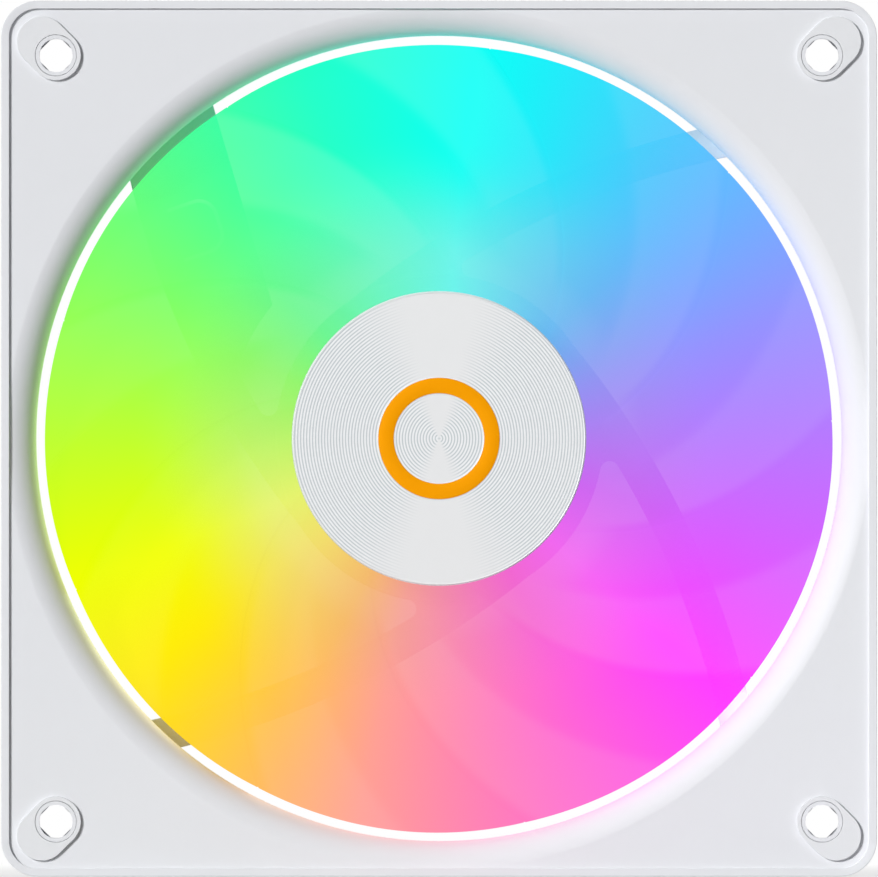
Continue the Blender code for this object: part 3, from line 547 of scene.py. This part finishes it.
bladeShape = {
    "count": 9, "hubRadius": 20.2, "hubWall": 1.8, "hubTop": -10.1, "hubRear": 7.2, "hubEdge": 0.4,
    "hubChamfer": 0.3, "hubSteps": 144, "tipRadius": 53.99, "front": -7.5, "rear": 6.6,
    "thickness": 1.6, "thinnest": 0.42, "swell": 0.58, "fullestAt": 1.6, "fullness": 0.8,
    "camber": 0.38, "trim": (0.30, 0.14), "start": math.radians(3.0), "sweep": math.radians(39.7),
    "ease": 0.12, "tipDrop": 0.9, "across": 40, "along": 28, "edge": 0.2, "edgeAngle": 60,
    "shadeAngle": 38,
}


def bladeSpot(across, along):  # middle surface: hub to tip, trailing to leading edge
    shape = bladeShape
    root = shape["hubRadius"] - shape["hubWall"] / 2
    radius = root + (shape["tipRadius"] - root) * across
    out = (radius - shape["hubRadius"]) / (shape["tipRadius"] - shape["hubRadius"])
    sweep = shape["sweep"] * ((1 + shape["ease"]) * out - shape["ease"] * out * abs(out))
    atHub, atTip = shape["trim"]  # so that the edges meet, seen from the front
    trim = atHub + (atTip - atHub) * out
    span = math.tau / shape["count"] - trim / radius
    low = shape["rear"] - shape["tipDrop"] * across
    high = shape["front"] + shape["tipDrop"] * across
    rise = along + shape["camber"] * along * (1 - along)
    y = low + (high - low) * rise
    angle = shape["start"] + sweep + trim / radius / 2 + span * along
    # kept on the lines of sight, so that the tips form one circle
    x, up = polar(radius * (1 + y / viewDistance), angle)
    return spot(x, up, y)


def makeImpeller():
    shape = bladeShape
    clearSelection()
    bpy.ops.mesh.primitive_grid_add(x_subdivisions=shape["across"],
                                    y_subdivisions=shape["along"], size=1)
    blade = bpy.context.object
    blade.name = "blade"
    thick = blade.vertex_groups.new(name="thick")
    for vert in blade.data.vertices:
        across, along = vert.co.x + 0.5, vert.co.y + 0.5
        vert.co = bladeSpot(across, along)
        fuller = math.sin(math.pi * along ** shape["fullestAt"]) ** shape["fullness"]
        thick.add([vert.index], shape["thinnest"] + shape["swell"] * fuller, "REPLACE")
    shell = blade.modifiers.new("shell", "SOLIDIFY")
    shell.thickness = shape["thickness"] * mm
    shell.offset = 0
    shell.vertex_group = thick.name
    applyAll(blade)
    soften(blade, shape["edge"], 2, shape["edgeAngle"])
    bpy.ops.object.mode_set(mode="EDIT")
    closeMesh(blade)
    blades = joinAll(copyRound(blade, shape["count"]))
    radius, inner = shape["hubRadius"], shape["hubRadius"] - shape["hubWall"]
    edge, chamfer = shape["hubEdge"], shape["hubChamfer"]
    top, rear, ceiling = shape["hubTop"], shape["hubRear"], shape["hubTop"] + shape["hubWall"]
    profile = [(0, top), (radius - edge, top), (radius - edge * roundIn, top + edge * roundIn),
               (radius, top + edge), (radius, rear - chamfer), (radius - chamfer, rear),
               (inner, rear), (inner, ceiling), (0, ceiling)]
    hub = lathe("impeller", profile, shape["hubSteps"])
    combine(hub, "UNION", blades)
    print("impeller made:", len(hub.data.polygons), "faces")
    return evenShade(hub, shape["shadeAngle"])


# hub cap, turned in fine rings, and the ring let into it

capShape = {
    "front": -11.3, "rear": -10.4, "radius": 20.2, "chamfer": 0.2, "centre": 0.1, "pitch": 0.41,
    "groove": 0.045, "ringInner": 6.21, "ringOuter": 8.32, "ringGap": 0.015, "ringDepth": 0.3,
    "ringSoft": 0.02, "shadeAngle": 35, "steps": 192,
}


def grooves(start, end):  # profile of turned grooves between two radii
    count = max(1, round((end - start) / capShape["pitch"]))
    top = capShape["front"]
    points = []
    for step in range(count):
        low = start + (end - start) * step / count
        high = start + (end - start) * (step + 1) / count
        points += [(low, top), ((low + high) / 2, top + capShape["groove"])]
    return points + [(end, top)]


def makeCap():
    shape = capShape
    top, rear, radius, chamfer = shape["front"], shape["rear"], shape["radius"], shape["chamfer"]
    inner = shape["ringInner"] - shape["ringGap"]
    outer = shape["ringOuter"] + shape["ringGap"]
    floor = top + shape["ringDepth"] + shape["ringGap"]
    profile = [(0, top)] + grooves(shape["centre"], inner) + [(inner, floor), (outer, floor)]
    profile += grooves(outer, radius - chamfer)
    profile += [(radius, top + chamfer), (radius, rear), (0, rear)]
    cap = lathe("hubCap", profile, shape["steps"])
    choose(cap)
    bpy.ops.object.shade_smooth_by_angle(angle=math.radians(shape["shadeAngle"]))
    soft, low, high = shape["ringSoft"], shape["ringInner"], shape["ringOuter"]
    bottom = top + shape["ringDepth"]
    ringProfile = [
        (low, top + soft), (low + soft * roundIn, top + soft * roundIn), (low + soft, top),
        (high - soft, top), (high - soft * roundIn, top + soft * roundIn), (high, top + soft),
        (high, bottom), (low, bottom),
    ]
    ring = lathe("accentRing", ringProfile, shape["steps"])
    print("hub cap and ring made")
    return cap, evenShade(ring)


# small cap that closes the bearing tube at the rear

endCapShape = {"radius": 3.499, "rear": 11.9, "front": 11.3, "edge": 0.18, "steps": 72}


def makeEndCap():
    shape = endCapShape
    radius, front, rear, edge = shape["radius"], shape["front"], shape["rear"], shape["edge"]
    profile = [(0, front), (radius, front), (radius, rear - edge),
               (radius - edge * roundIn, rear - edge * roundIn), (radius - edge, rear), (0, rear)]
    return evenShade(lathe("bearingCap", profile, shape["steps"]))


# materials


def newMaterial(name):
    material = bpy.data.materials.new(name)
    material.use_nodes = True
    nodes, links = material.node_tree.nodes, material.node_tree.links
    return material, nodes, links, nodes["Principled BSDF"]


def newGroup(name, inputs, outputs):
    group = bpy.data.node_groups.new(name, "ShaderNodeTree")
    for label, kind in inputs:
        group.interface.new_socket(name=label, in_out="INPUT", socket_type=kind)
    for label, kind in outputs:
        group.interface.new_socket(name=label, in_out="OUTPUT", socket_type=kind)
    return group, group.nodes.new("NodeGroupInput"), group.nodes.new("NodeGroupOutput")


def mathNode(tree, operation, first, second=None):
    node = tree.nodes.new("ShaderNodeMath")
    node.operation = operation
    for socket, value in zip(node.inputs, (first, second)):
        if value is None:
            continue
        if isinstance(value, (int, float)):
            socket.default_value = value
        else:
            tree.links.new(value, socket)
    return node.outputs[0]


def mixColour(tree, factor, first, second, blend="MIX"):
    node = tree.nodes.new("ShaderNodeMix")
    node.data_type = "RGBA"
    node.blend_type = blend
    sockets = (node.inputs["Factor"], node.inputs[6], node.inputs[7])  # the last two take colours
    for socket, value in zip(sockets, (factor, first, second)):
        if isinstance(value, bpy.types.NodeSocket):
            tree.links.new(value, socket)
        else:
            socket.default_value = value
    return node.outputs[2]


def rangeNode(tree, value, fromLow, fromHigh, toLow, toHigh):  # eased between the limits
    node = tree.nodes.new("ShaderNodeMapRange")
    node.interpolation_type = "SMOOTHSTEP"
    tree.links.new(value, node.inputs["Value"])
    limits = {"From Min": fromLow, "From Max": fromHigh, "To Min": toLow, "To Max": toHigh}
    for label, number in limits.items():
        node.inputs[label].default_value = number
    return node.outputs["Result"]


def grey(level):
    return (level, level, level, 1)


grainShape = {
    "fineDetail": 3, "slowScale": 45, "slowDetail": 4, "tone": (0.3, 0.7), "roughSpread": 0.05,
    "bump": 0.25,
}


def makeGrain():  # fine moulded texture, with a slow drift of tone
    group, source, result = newGroup(
        "mouldedGrain", [("Vector", "NodeSocketVector"), ("Scale", "NodeSocketFloat")],
        [("Height", "NodeSocketFloat"), ("Tone", "NodeSocketFloat")])
    fine = group.nodes.new("ShaderNodeTexNoise")
    fine.inputs["Detail"].default_value = grainShape["fineDetail"]
    slow = group.nodes.new("ShaderNodeTexNoise")
    slow.inputs["Scale"].default_value = grainShape["slowScale"]
    slow.inputs["Detail"].default_value = grainShape["slowDetail"]
    for node in (fine, slow):
        group.links.new(source.outputs["Vector"], node.inputs["Vector"])
    group.links.new(source.outputs["Scale"], fine.inputs["Scale"])
    group.links.new(fine.outputs["Fac"], result.inputs["Height"])
    group.links.new(slow.outputs["Fac"], result.inputs["Tone"])
    return group


# glow round the fan axis: colours that run into each other, paler at the hub
def makeRainbow():
    group, source, result = newGroup(
        "rainbowGlow", [("Vector", "NodeSocketVector")],
        [("Colour", "NodeSocketColor"), ("Clear", "NodeSocketFloat"),
         ("Radius", "NodeSocketFloat")])
    parts = group.nodes.new("ShaderNodeSeparateXYZ")
    group.links.new(source.outputs["Vector"], parts.inputs[0])
    up = mathNode(group, "SUBTRACT", parts.outputs["Z"], axisHeight * mm)
    angle = mathNode(group, "ARCTAN2", up, parts.outputs["X"])
    start = rainbow["stops"][0][0] / 360
    turns = mathNode(group, "DIVIDE", angle, math.tau)
    share = mathNode(group, "FRACT", mathNode(group, "ADD", turns, 1 - start))
    square = mathNode(group, "ADD", mathNode(group, "POWER", mathNode(group, "ABSOLUTE", up), 2),
                      mathNode(group, "POWER", mathNode(group, "ABSOLUTE", parts.outputs["X"]), 2))
    radius = mathNode(group, "SQRT", square)
    ramp = group.nodes.new("ShaderNodeValToRGB")
    stops = [(place / 360 - start, (*colour, 1)) for place, colour in rainbow["stops"]]
    stops.append((1, stops[0][1]))
    clearStops = [(place / 360 - start, grey(value)) for place, value in rainbow["clear"]]
    clearStops.append((1, clearStops[0][1]))
    clear = group.nodes.new("ShaderNodeValToRGB")
    for node, entries in ((ramp, stops), (clear, clearStops)):
        while len(node.color_ramp.elements) < len(entries):
            node.color_ramp.elements.new(0.5)
        for element, (place, colour) in zip(node.color_ramp.elements, entries):
            element.position = place
            element.color = colour
        group.links.new(share, node.inputs["Fac"])
    nearHub = rangeNode(group, radius, *rainbow["paleReach"], rainbow["pale"], 0)
    least = grey(rainbow["paleLeast"])
    paler = mixColour(group, nearHub, ramp.outputs["Color"], least, "LIGHTEN")
    greyer = mathNode(group, "MULTIPLY", nearHub, rainbow["greyShare"])
    shown = mixColour(group, greyer, paler, grey(rainbow["grey"]))
    gamma = group.nodes.new("ShaderNodeGamma")
    gamma.inputs["Gamma"].default_value = rainbow["gamma"]
    group.links.new(shown, gamma.inputs["Color"])
    group.links.new(gamma.outputs["Color"], result.inputs["Colour"])
    group.links.new(clear.outputs["Color"], result.inputs["Clear"])
    group.links.new(radius, result.inputs["Radius"])
    return group


rainbow = {  # colours as they look, at degrees round the fan axis
    "stops": ((85, (0.02, 0.995, 0.95)), (110, (0.12, 0.998, 0.77)), (148, (0.45, 0.998, 0.44)),
              (202, (0.925, 0.985, 0.02)), (218, (0.98, 0.905, 0.04)), (258, (0.995, 0.605, 0.56)),
              (318, (0.995, 0.235, 0.99)), (380, (0.56, 0.56, 1.0))),
    "gamma": 2.2, "pale": 1.0, "paleReach": (0.0235, 0.0430), "paleLeast": 0.36,
    "grey": 0.66, "greyShare": 0.16,
    # how much shows through a blade
    "clear": ((85, 0.022), (110, 0.05), (135, 0.06), (180, 0.008), (205, 0.006), (230, 0.022),
              (258, 0.055), (318, 0.05), (380, 0.055)),
}
grainGroup = makeGrain()
rainbowGroup = makeRainbow()


def addGroup(nodes, group):
    node = nodes.new("ShaderNodeGroup")
    node.node_tree = group
    return node


def plastic(name, low, high, roughness, scale, depth, shine=0.5):  # moulded plastic or rubber
    material, nodes, links, shader = newMaterial(name)
    shader.inputs["Specular IOR Level"].default_value = shine
    place = nodes.new("ShaderNodeTexCoord")
    grain = addGroup(nodes, grainGroup)
    grain.inputs["Scale"].default_value = scale
    links.new(place.outputs["Object"], grain.inputs["Vector"])
    tree, tone = material.node_tree, grain.outputs["Tone"]
    links.new(mixColour(tree, tone, (*low, 1), (*high, 1)), shader.inputs["Base Color"])
    spread = grainShape["roughSpread"]
    rough = rangeNode(tree, tone, *grainShape["tone"], roughness - spread, roughness + spread)
    links.new(rough, shader.inputs["Roughness"])
    bump = nodes.new("ShaderNodeBump")
    bump.inputs["Strength"].default_value = grainShape["bump"]
    bump.inputs["Distance"].default_value = depth * mm
    links.new(grain.outputs["Height"], bump.inputs["Height"])
    links.new(bump.outputs["Normal"], shader.inputs["Normal"])
    return material


litShape = {
    "sides": (-0.1, 0.1), "extra": (0.80, -0.40),  # light on what lies in front and behind
    # base: the base colour is the glow colour painted in, darkened by this share
    "base": 0.96, "roughness": 0.45, "shade": 0.7,
    # bands along a blade
    "half": 0.455, "lean": 0.09, "blur": 0.045, "dark": 0.18, "fade": 0.07,
    "root": (0.0235, 0.0300, 0.045), "hubMargin": 0.05,
}


def litPlastic(name, withBlades):  # milky plastic lit from the hub
    material, nodes, links, shader = newMaterial(name)
    tree = material.node_tree
    place = nodes.new("ShaderNodeTexCoord")
    glow = addGroup(nodes, rainbowGroup)
    links.new(place.outputs["Object"], glow.inputs["Vector"])
    # it lights the intake edge more than the struts behind it
    ray = nodes.new("ShaderNodeLightPath")
    surface = nodes.new("ShaderNodeNewGeometry")
    facing = nodes.new("ShaderNodeSeparateXYZ")
    links.new(surface.outputs["True Normal"], facing.inputs[0])
    extra = rangeNode(tree, facing.outputs["Y"], *litShape["sides"], *litShape["extra"])
    added = mathNode(tree, "MULTIPLY", ray.outputs["Is Diffuse Ray"], extra)
    lights = mathNode(tree, "ADD", added, 1.0)
    spread = nodes.new("ShaderNodeVectorMath")
    spread.operation = "SCALE"
    links.new(glow.outputs["Colour"], spread.inputs[0])
    links.new(lights, spread.inputs["Scale"])
    links.new(spread.outputs["Vector"], shader.inputs["Emission Color"])
    shader.inputs["Emission Strength"].default_value = 1.0
    # painted light: the base colour of the white plastic is a small share of the glow colour
    paintedGlowBase = mixColour(tree, litShape["base"], glow.outputs["Colour"], grey(0))
    links.new(paintedGlowBase, shader.inputs["Base Color"])
    shader.inputs["Roughness"].default_value = litShape["roughness"]
    shader.inputs["Specular IOR Level"].default_value = 0.0
    if withBlades:  # the rear half of a blade lets more through, apart from its very edge
        layout = nodes.new("ShaderNodeUVMap")
        layout.uv_map = "UVMap"
        parts = nodes.new("ShaderNodeSeparateXYZ")
        links.new(layout.outputs["UV"], parts.inputs[0])
        across, along = parts.outputs["X"], parts.outputs["Y"]
        lean = mathNode(tree, "MULTIPLY", across, litShape["lean"])
        past = mathNode(tree, "SUBTRACT", along, mathNode(tree, "ADD", lean, litShape["half"]))
        blur, dark = litShape["blur"], litShape["dark"]
        rearHalf = rangeNode(tree, past, -blur, blur, 1.0, dark)
        rearEdge = rangeNode(tree, along, 0.0, litShape["fade"], dark, 1.0)
        band = mathNode(tree, "MINIMUM", rearHalf, rearEdge)
        root = rangeNode(tree, glow.outputs["Radius"], *litShape["root"], 0.0)  # clear by the hub
        banded = mathNode(tree, "MULTIPLY", glow.outputs["Clear"], band)
        through = mathNode(tree, "MAXIMUM", banded, root)
        dense = mathNode(tree, "SUBTRACT", 1.0, mathNode(tree, "SQRT", through))
        # lamp light soaks through
        soaked = mathNode(tree, "MULTIPLY", ray.outputs["Is Shadow Ray"], litShape["shade"])
        held = mathNode(tree, "SUBTRACT", 1.0, soaked)
        links.new(mathNode(tree, "MULTIPLY", dense, held), shader.inputs["Alpha"])
    return material


# colours of the painted highlight and painted shade on the rings, and the plain colour where the
# rings catch no light
turnedPaintedLightShape = {
    "sides": (0.22, 0.68), "line": (-0.5, 0.9), "light": (0.862, 0.875, 0.885, 1),
    "dark": (0.52, 0.565, 0.585, 1), "plain": (0.805, 0.815, 0.82, 1), "roughness": (0.34, 0.50),
    "metallic": 0.25, "shine": 0.3, "leastRadius": 0.0001,
}


# lacquered disc with turned rings, a painted highlight and painted shade on the rings to the left
# and right, plain above and below
def turnedMetalPaintedLight(name):
    shape = turnedPaintedLightShape
    material, nodes, links, shader = newMaterial(name)
    tree = material.node_tree
    place = nodes.new("ShaderNodeTexCoord")
    parts = nodes.new("ShaderNodeSeparateXYZ")
    links.new(place.outputs["Object"], parts.inputs[0])
    up = mathNode(tree, "SUBTRACT", parts.outputs["Z"], axisHeight * mm)
    square = mathNode(tree, "ADD", mathNode(tree, "MULTIPLY", up, up),
                      mathNode(tree, "MULTIPLY", parts.outputs["X"], parts.outputs["X"]))
    radius = mathNode(tree, "MAXIMUM", mathNode(tree, "SQRT", square), shape["leastRadius"])
    sideways = mathNode(tree, "ABSOLUTE", mathNode(tree, "DIVIDE", parts.outputs["X"], radius))
    # painted light: the rings are drawn light and dark only to the left and right, fading out above
    # and below
    paintedLightSides = rangeNode(tree, sideways, *shape["sides"], 0.0, 1.0)
    turns = mathNode(tree, "MULTIPLY", radius, math.tau / (capShape["pitch"] * mm))
    line = rangeNode(tree, mathNode(tree, "SINE", turns), *shape["line"], 0.0, 1.0)
    paintedLightRings = mixColour(tree, line, shape["light"], shape["dark"])
    links.new(mixColour(tree, paintedLightSides, shape["plain"], paintedLightRings), shader.inputs["Base Color"])
    masked = mathNode(tree, "MULTIPLY", line, paintedLightSides)
    links.new(rangeNode(tree, masked, 0.0, 1.0, *shape["roughness"]), shader.inputs["Roughness"])
    shader.inputs["Metallic"].default_value = shape["metallic"]
    shader.inputs["Specular IOR Level"].default_value = shape["shine"]
    return material


paintShape = {"darker": 0.97, "scale": 3000, "depth": 0.01, "shine": 0.03}


def satinPaint(name, colour, roughness):
    shape = paintShape
    low = tuple(value * shape["darker"] for value in colour)
    return plastic(name, low, colour, roughness, shape["scale"], shape["depth"], shape["shine"])


metalShape = {
    "scale": 400, "detail": 5, "tone": (0.3, 0.7), "smoother": 0.06, "rougher": 0.08, "bump": 0.2,
    "depth": 0.02,
}


def metal(name, low, high, roughness, stretch):  # drawn or rolled metal, streaked along one way
    material, nodes, links, shader = newMaterial(name)
    tree = material.node_tree
    place = nodes.new("ShaderNodeTexCoord")
    mapping = nodes.new("ShaderNodeMapping")
    mapping.inputs["Scale"].default_value = stretch
    links.new(place.outputs["Object"], mapping.inputs["Vector"])
    noise = nodes.new("ShaderNodeTexNoise")
    noise.inputs["Scale"].default_value = metalShape["scale"]
    noise.inputs["Detail"].default_value = metalShape["detail"]
    links.new(mapping.outputs["Vector"], noise.inputs["Vector"])
    streaks = noise.outputs["Fac"]
    links.new(mixColour(tree, streaks, (*low, 1), (*high, 1)), shader.inputs["Base Color"])
    least, most = roughness - metalShape["smoother"], roughness + metalShape["rougher"]
    rough = rangeNode(tree, streaks, *metalShape["tone"], least, most)
    links.new(rough, shader.inputs["Roughness"])
    shader.inputs["Metallic"].default_value = 1.0
    bump = nodes.new("ShaderNodeBump")
    bump.inputs["Strength"].default_value = metalShape["bump"]
    bump.inputs["Distance"].default_value = metalShape["depth"] * mm
    links.new(streaks, bump.inputs["Height"])
    links.new(bump.outputs["Normal"], shader.inputs["Normal"])
    return material


# plastics: two tones, roughness, scale and depth of the grain, shine
# metals: two tones, roughness, stretch of the streaks
finishes = {
    "white_plastic": plastic("framePlastic", (0.755, 0.767, 0.795), (0.775, 0.787, 0.815),
                             0.52, 3800, 0.012, 0.2),
    "white_rubber": plastic("padRubber", (0.755, 0.767, 0.79), (0.775, 0.787, 0.81),
                            0.66, 5200, 0.012, 0.2),
    "spun_metal": turnedMetalPaintedLight("turnedCapPaintedLight"),
    "accent_paint": satinPaint("orangePaint", (0.955, 0.357, 0.001), 0.42),
    "steel": metal("plainSteel", (0.48, 0.49, 0.51), (0.62, 0.63, 0.65), 0.32, (1, 8, 1)),
    "magnet": plastic("bondedFerrite", (0.045, 0.045, 0.05), (0.075, 0.075, 0.08),
                      0.55, 2600, 0.02),
    "brass": metal("turnedBrass", (0.66, 0.45, 0.17), (0.78, 0.56, 0.24), 0.30, (1, 10, 1)),
    "copper": metal("enamelledWire", (0.60, 0.22, 0.09), (0.80, 0.36, 0.16), 0.30, (1, 14, 1)),
    "nylon": plastic("naturalNylon", (0.66, 0.64, 0.57), (0.74, 0.72, 0.66), 0.48, 2400, 0.01),
    "green_board": plastic("solderMask", (0.015, 0.14, 0.06), (0.025, 0.19, 0.085),
                           0.40, 900, 0.01),
    "black_plastic": plastic("chipPlastic", (0.016, 0.016, 0.018), (0.03, 0.03, 0.033),
                             0.5, 3200, 0.01),
    "led": plastic("lampResin", (0.84, 0.82, 0.66), (0.92, 0.90, 0.76), 0.28, 1500, 0.006),
}
bladeLight = litPlastic("litBlades", True)
hubLight = litPlastic("litHub", False)


def dress(obj, *materials):
    obj.data.materials.clear()
    for material in materials:
        obj.data.materials.append(material)


# build, dress and hand over each piece

fanFrame = makeFrame()
dress(fanFrame, finishes["white_plastic"])
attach(fanFrame, "housing")
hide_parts("fan_frame")

for node, pad in makePads().items():
    words = node.split("_")
    pad.name = words[0] + "Pad" + words[2].title() + words[3].title()
    dress(pad, finishes["white_rubber"])
    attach(pad, "housing")
    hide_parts(node)

impeller = makeImpeller()
dress(impeller, bladeLight, hubLight)
hubReach = (bladeShape["hubRadius"] + litShape["hubMargin"]) * mm
for face in impeller.data.polygons:
    away = math.hypot(face.center.x, face.center.z - axisHeight * mm)
    face.material_index = 1 if away < hubReach else 0
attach(impeller, "rotor")
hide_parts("impeller")

hubCap, accentRing = makeCap()
dress(hubCap, finishes["spun_metal"])
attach(hubCap, "rotor")
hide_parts("hub_cap")
dress(accentRing, finishes["accent_paint"])
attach(accentRing, "rotor")
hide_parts("accent_ring")

bearingCap = makeEndCap()
dress(bearingCap, finishes["white_plastic"])
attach(bearingCap, "housing")
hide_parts("bearing_end_cap")

slotOf = {part["node"]: part["material_slot"] for part in frame["record"]["subparts"]}
for node, obj in frame["nodes"].items():
    finish = finishes.get(slotOf[node])
    if finish:
        for place in obj.material_slots:
            place.material = finish
print("pieces dressed")

# camera straight in front, far off with a long lens: the photograph shows almost no perspective

cameraSetup = {"lens": 1500.0, "sensor": 36.0, "seen": 120.31, "clip": 50}
cameraData = bpy.data.cameras.new("camera")
cameraData.lens = cameraSetup["lens"]
cameraData.sensor_width = cameraSetup["sensor"]
cameraData.clip_end = cameraSetup["clip"]
camera = bpy.data.objects.new("camera", cameraData)
bpy.context.scene.collection.objects.link(camera)
distance = cameraSetup["seen"] * cameraSetup["lens"] / cameraSetup["sensor"]
camera.location = Vector((0, frameShape["front"] - distance, axisHeight)) * mm
camera.rotation_euler = (quarterTurn, 0, 0)
bpy.context.scene.camera = camera

# soft key light from the upper left, a weaker one from behind, even light from all round

lightSetup = {
    "key": {"from": 150, "slant": 41, "power": 3.12, "spread": 13},
    "back": {"from": 40, "slant": 138, "power": 2.5, "spread": 16},
    "around": 0.10, "away": 1.5,
}


def addSun(name, setup):  # from an angle round the fan axis, slanted off the viewing direction
    data = bpy.data.lights.new(name, "SUN")
    data.energy = setup["power"]
    data.angle = math.radians(setup["spread"])
    lamp = bpy.data.objects.new(name, data)
    bpy.context.scene.collection.objects.link(lamp)
    slant = math.radians(setup["slant"])
    x, up = polar(math.sin(slant), math.radians(setup["from"]))
    towards = Vector((-x, math.cos(slant), -up))
    lamp.location = towards * -lightSetup["away"]
    lamp.rotation_euler = towards.to_track_quat("-Z", "Y").to_euler()


addSun("key", lightSetup["key"])
addSun("back", lightSetup["back"])

world = bpy.data.worlds.new("studio")
bpy.context.scene.world = world
world.use_nodes = True
worldTree = world.node_tree
around = worldTree.nodes["Background"]
around.inputs["Color"].default_value = grey(1)
around.inputs["Strength"].default_value = lightSetup["around"]
white = worldTree.nodes.new("ShaderNodeBackground")
white.inputs["Color"].default_value = grey(1)
white.inputs["Strength"].default_value = 1
ray = worldTree.nodes.new("ShaderNodeLightPath")
direct = mathNode(worldTree, "MAXIMUM", ray.outputs["Is Camera Ray"], ray.outputs["Is Glossy Ray"])
seen = mathNode(worldTree, "MAXIMUM", direct, ray.outputs["Is Transmission Ray"])
mixWorld = worldTree.nodes.new("ShaderNodeMixShader")
worldTree.links.new(seen, mixWorld.inputs["Fac"])
worldTree.links.new(around.outputs[0], mixWorld.inputs[1])
worldTree.links.new(white.outputs[0], mixWorld.inputs[2])
worldTree.links.new(mixWorld.outputs[0], worldTree.nodes["World Output"].inputs["Surface"])

# pale floor that takes the shadow, white beyond it

floorSetup = {
    "size": 1.6, "height": -0.0001, "colour": (0.42, 0.42, 0.425, 1), "roughness": 0.7,
    "shine": 0.2, "fadeReach": (0.06, 0.16), "fadeShare": (0.7, 1.0),
}
clearSelection()
bpy.ops.mesh.primitive_plane_add(size=floorSetup["size"], location=(0, 0, floorSetup["height"]))
floor = settle(bpy.context.object)
floor.name = "floor"
floorMaterial, floorNodes, floorLinks, floorShader = newMaterial("paleFloor")
floorTree = floorMaterial.node_tree
floorShader.inputs["Base Color"].default_value = floorSetup["colour"]
floorShader.inputs["Roughness"].default_value = floorSetup["roughness"]
floorShader.inputs["Specular IOR Level"].default_value = floorSetup["shine"]
floorRay = floorNodes.new("ShaderNodeLightPath")
floorGlow = floorNodes.new("ShaderNodeEmission")
floorMix = floorNodes.new("ShaderNodeMixShader")
floorPlace = floorNodes.new("ShaderNodeTexCoord")
floorReach = floorNodes.new("ShaderNodeVectorMath")
floorReach.operation = "LENGTH"
floorLinks.new(floorPlace.outputs["Object"], floorReach.inputs[0])
floorFade = rangeNode(floorTree, floorReach.outputs["Value"],
                      *floorSetup["fadeReach"], *floorSetup["fadeShare"])
floorShare = mathNode(floorTree, "MULTIPLY", floorRay.outputs["Is Camera Ray"], floorFade)
floorLinks.new(floorShare, floorMix.inputs["Fac"])
floorLinks.new(floorShader.outputs[0], floorMix.inputs[1])
floorLinks.new(floorGlow.outputs[0], floorMix.inputs[2])
floorLinks.new(floorMix.outputs[0], floorNodes["Material Output"].inputs["Surface"])
dress(floor, floorMaterial)

bpy.context.scene.view_settings.view_transform = "Standard"
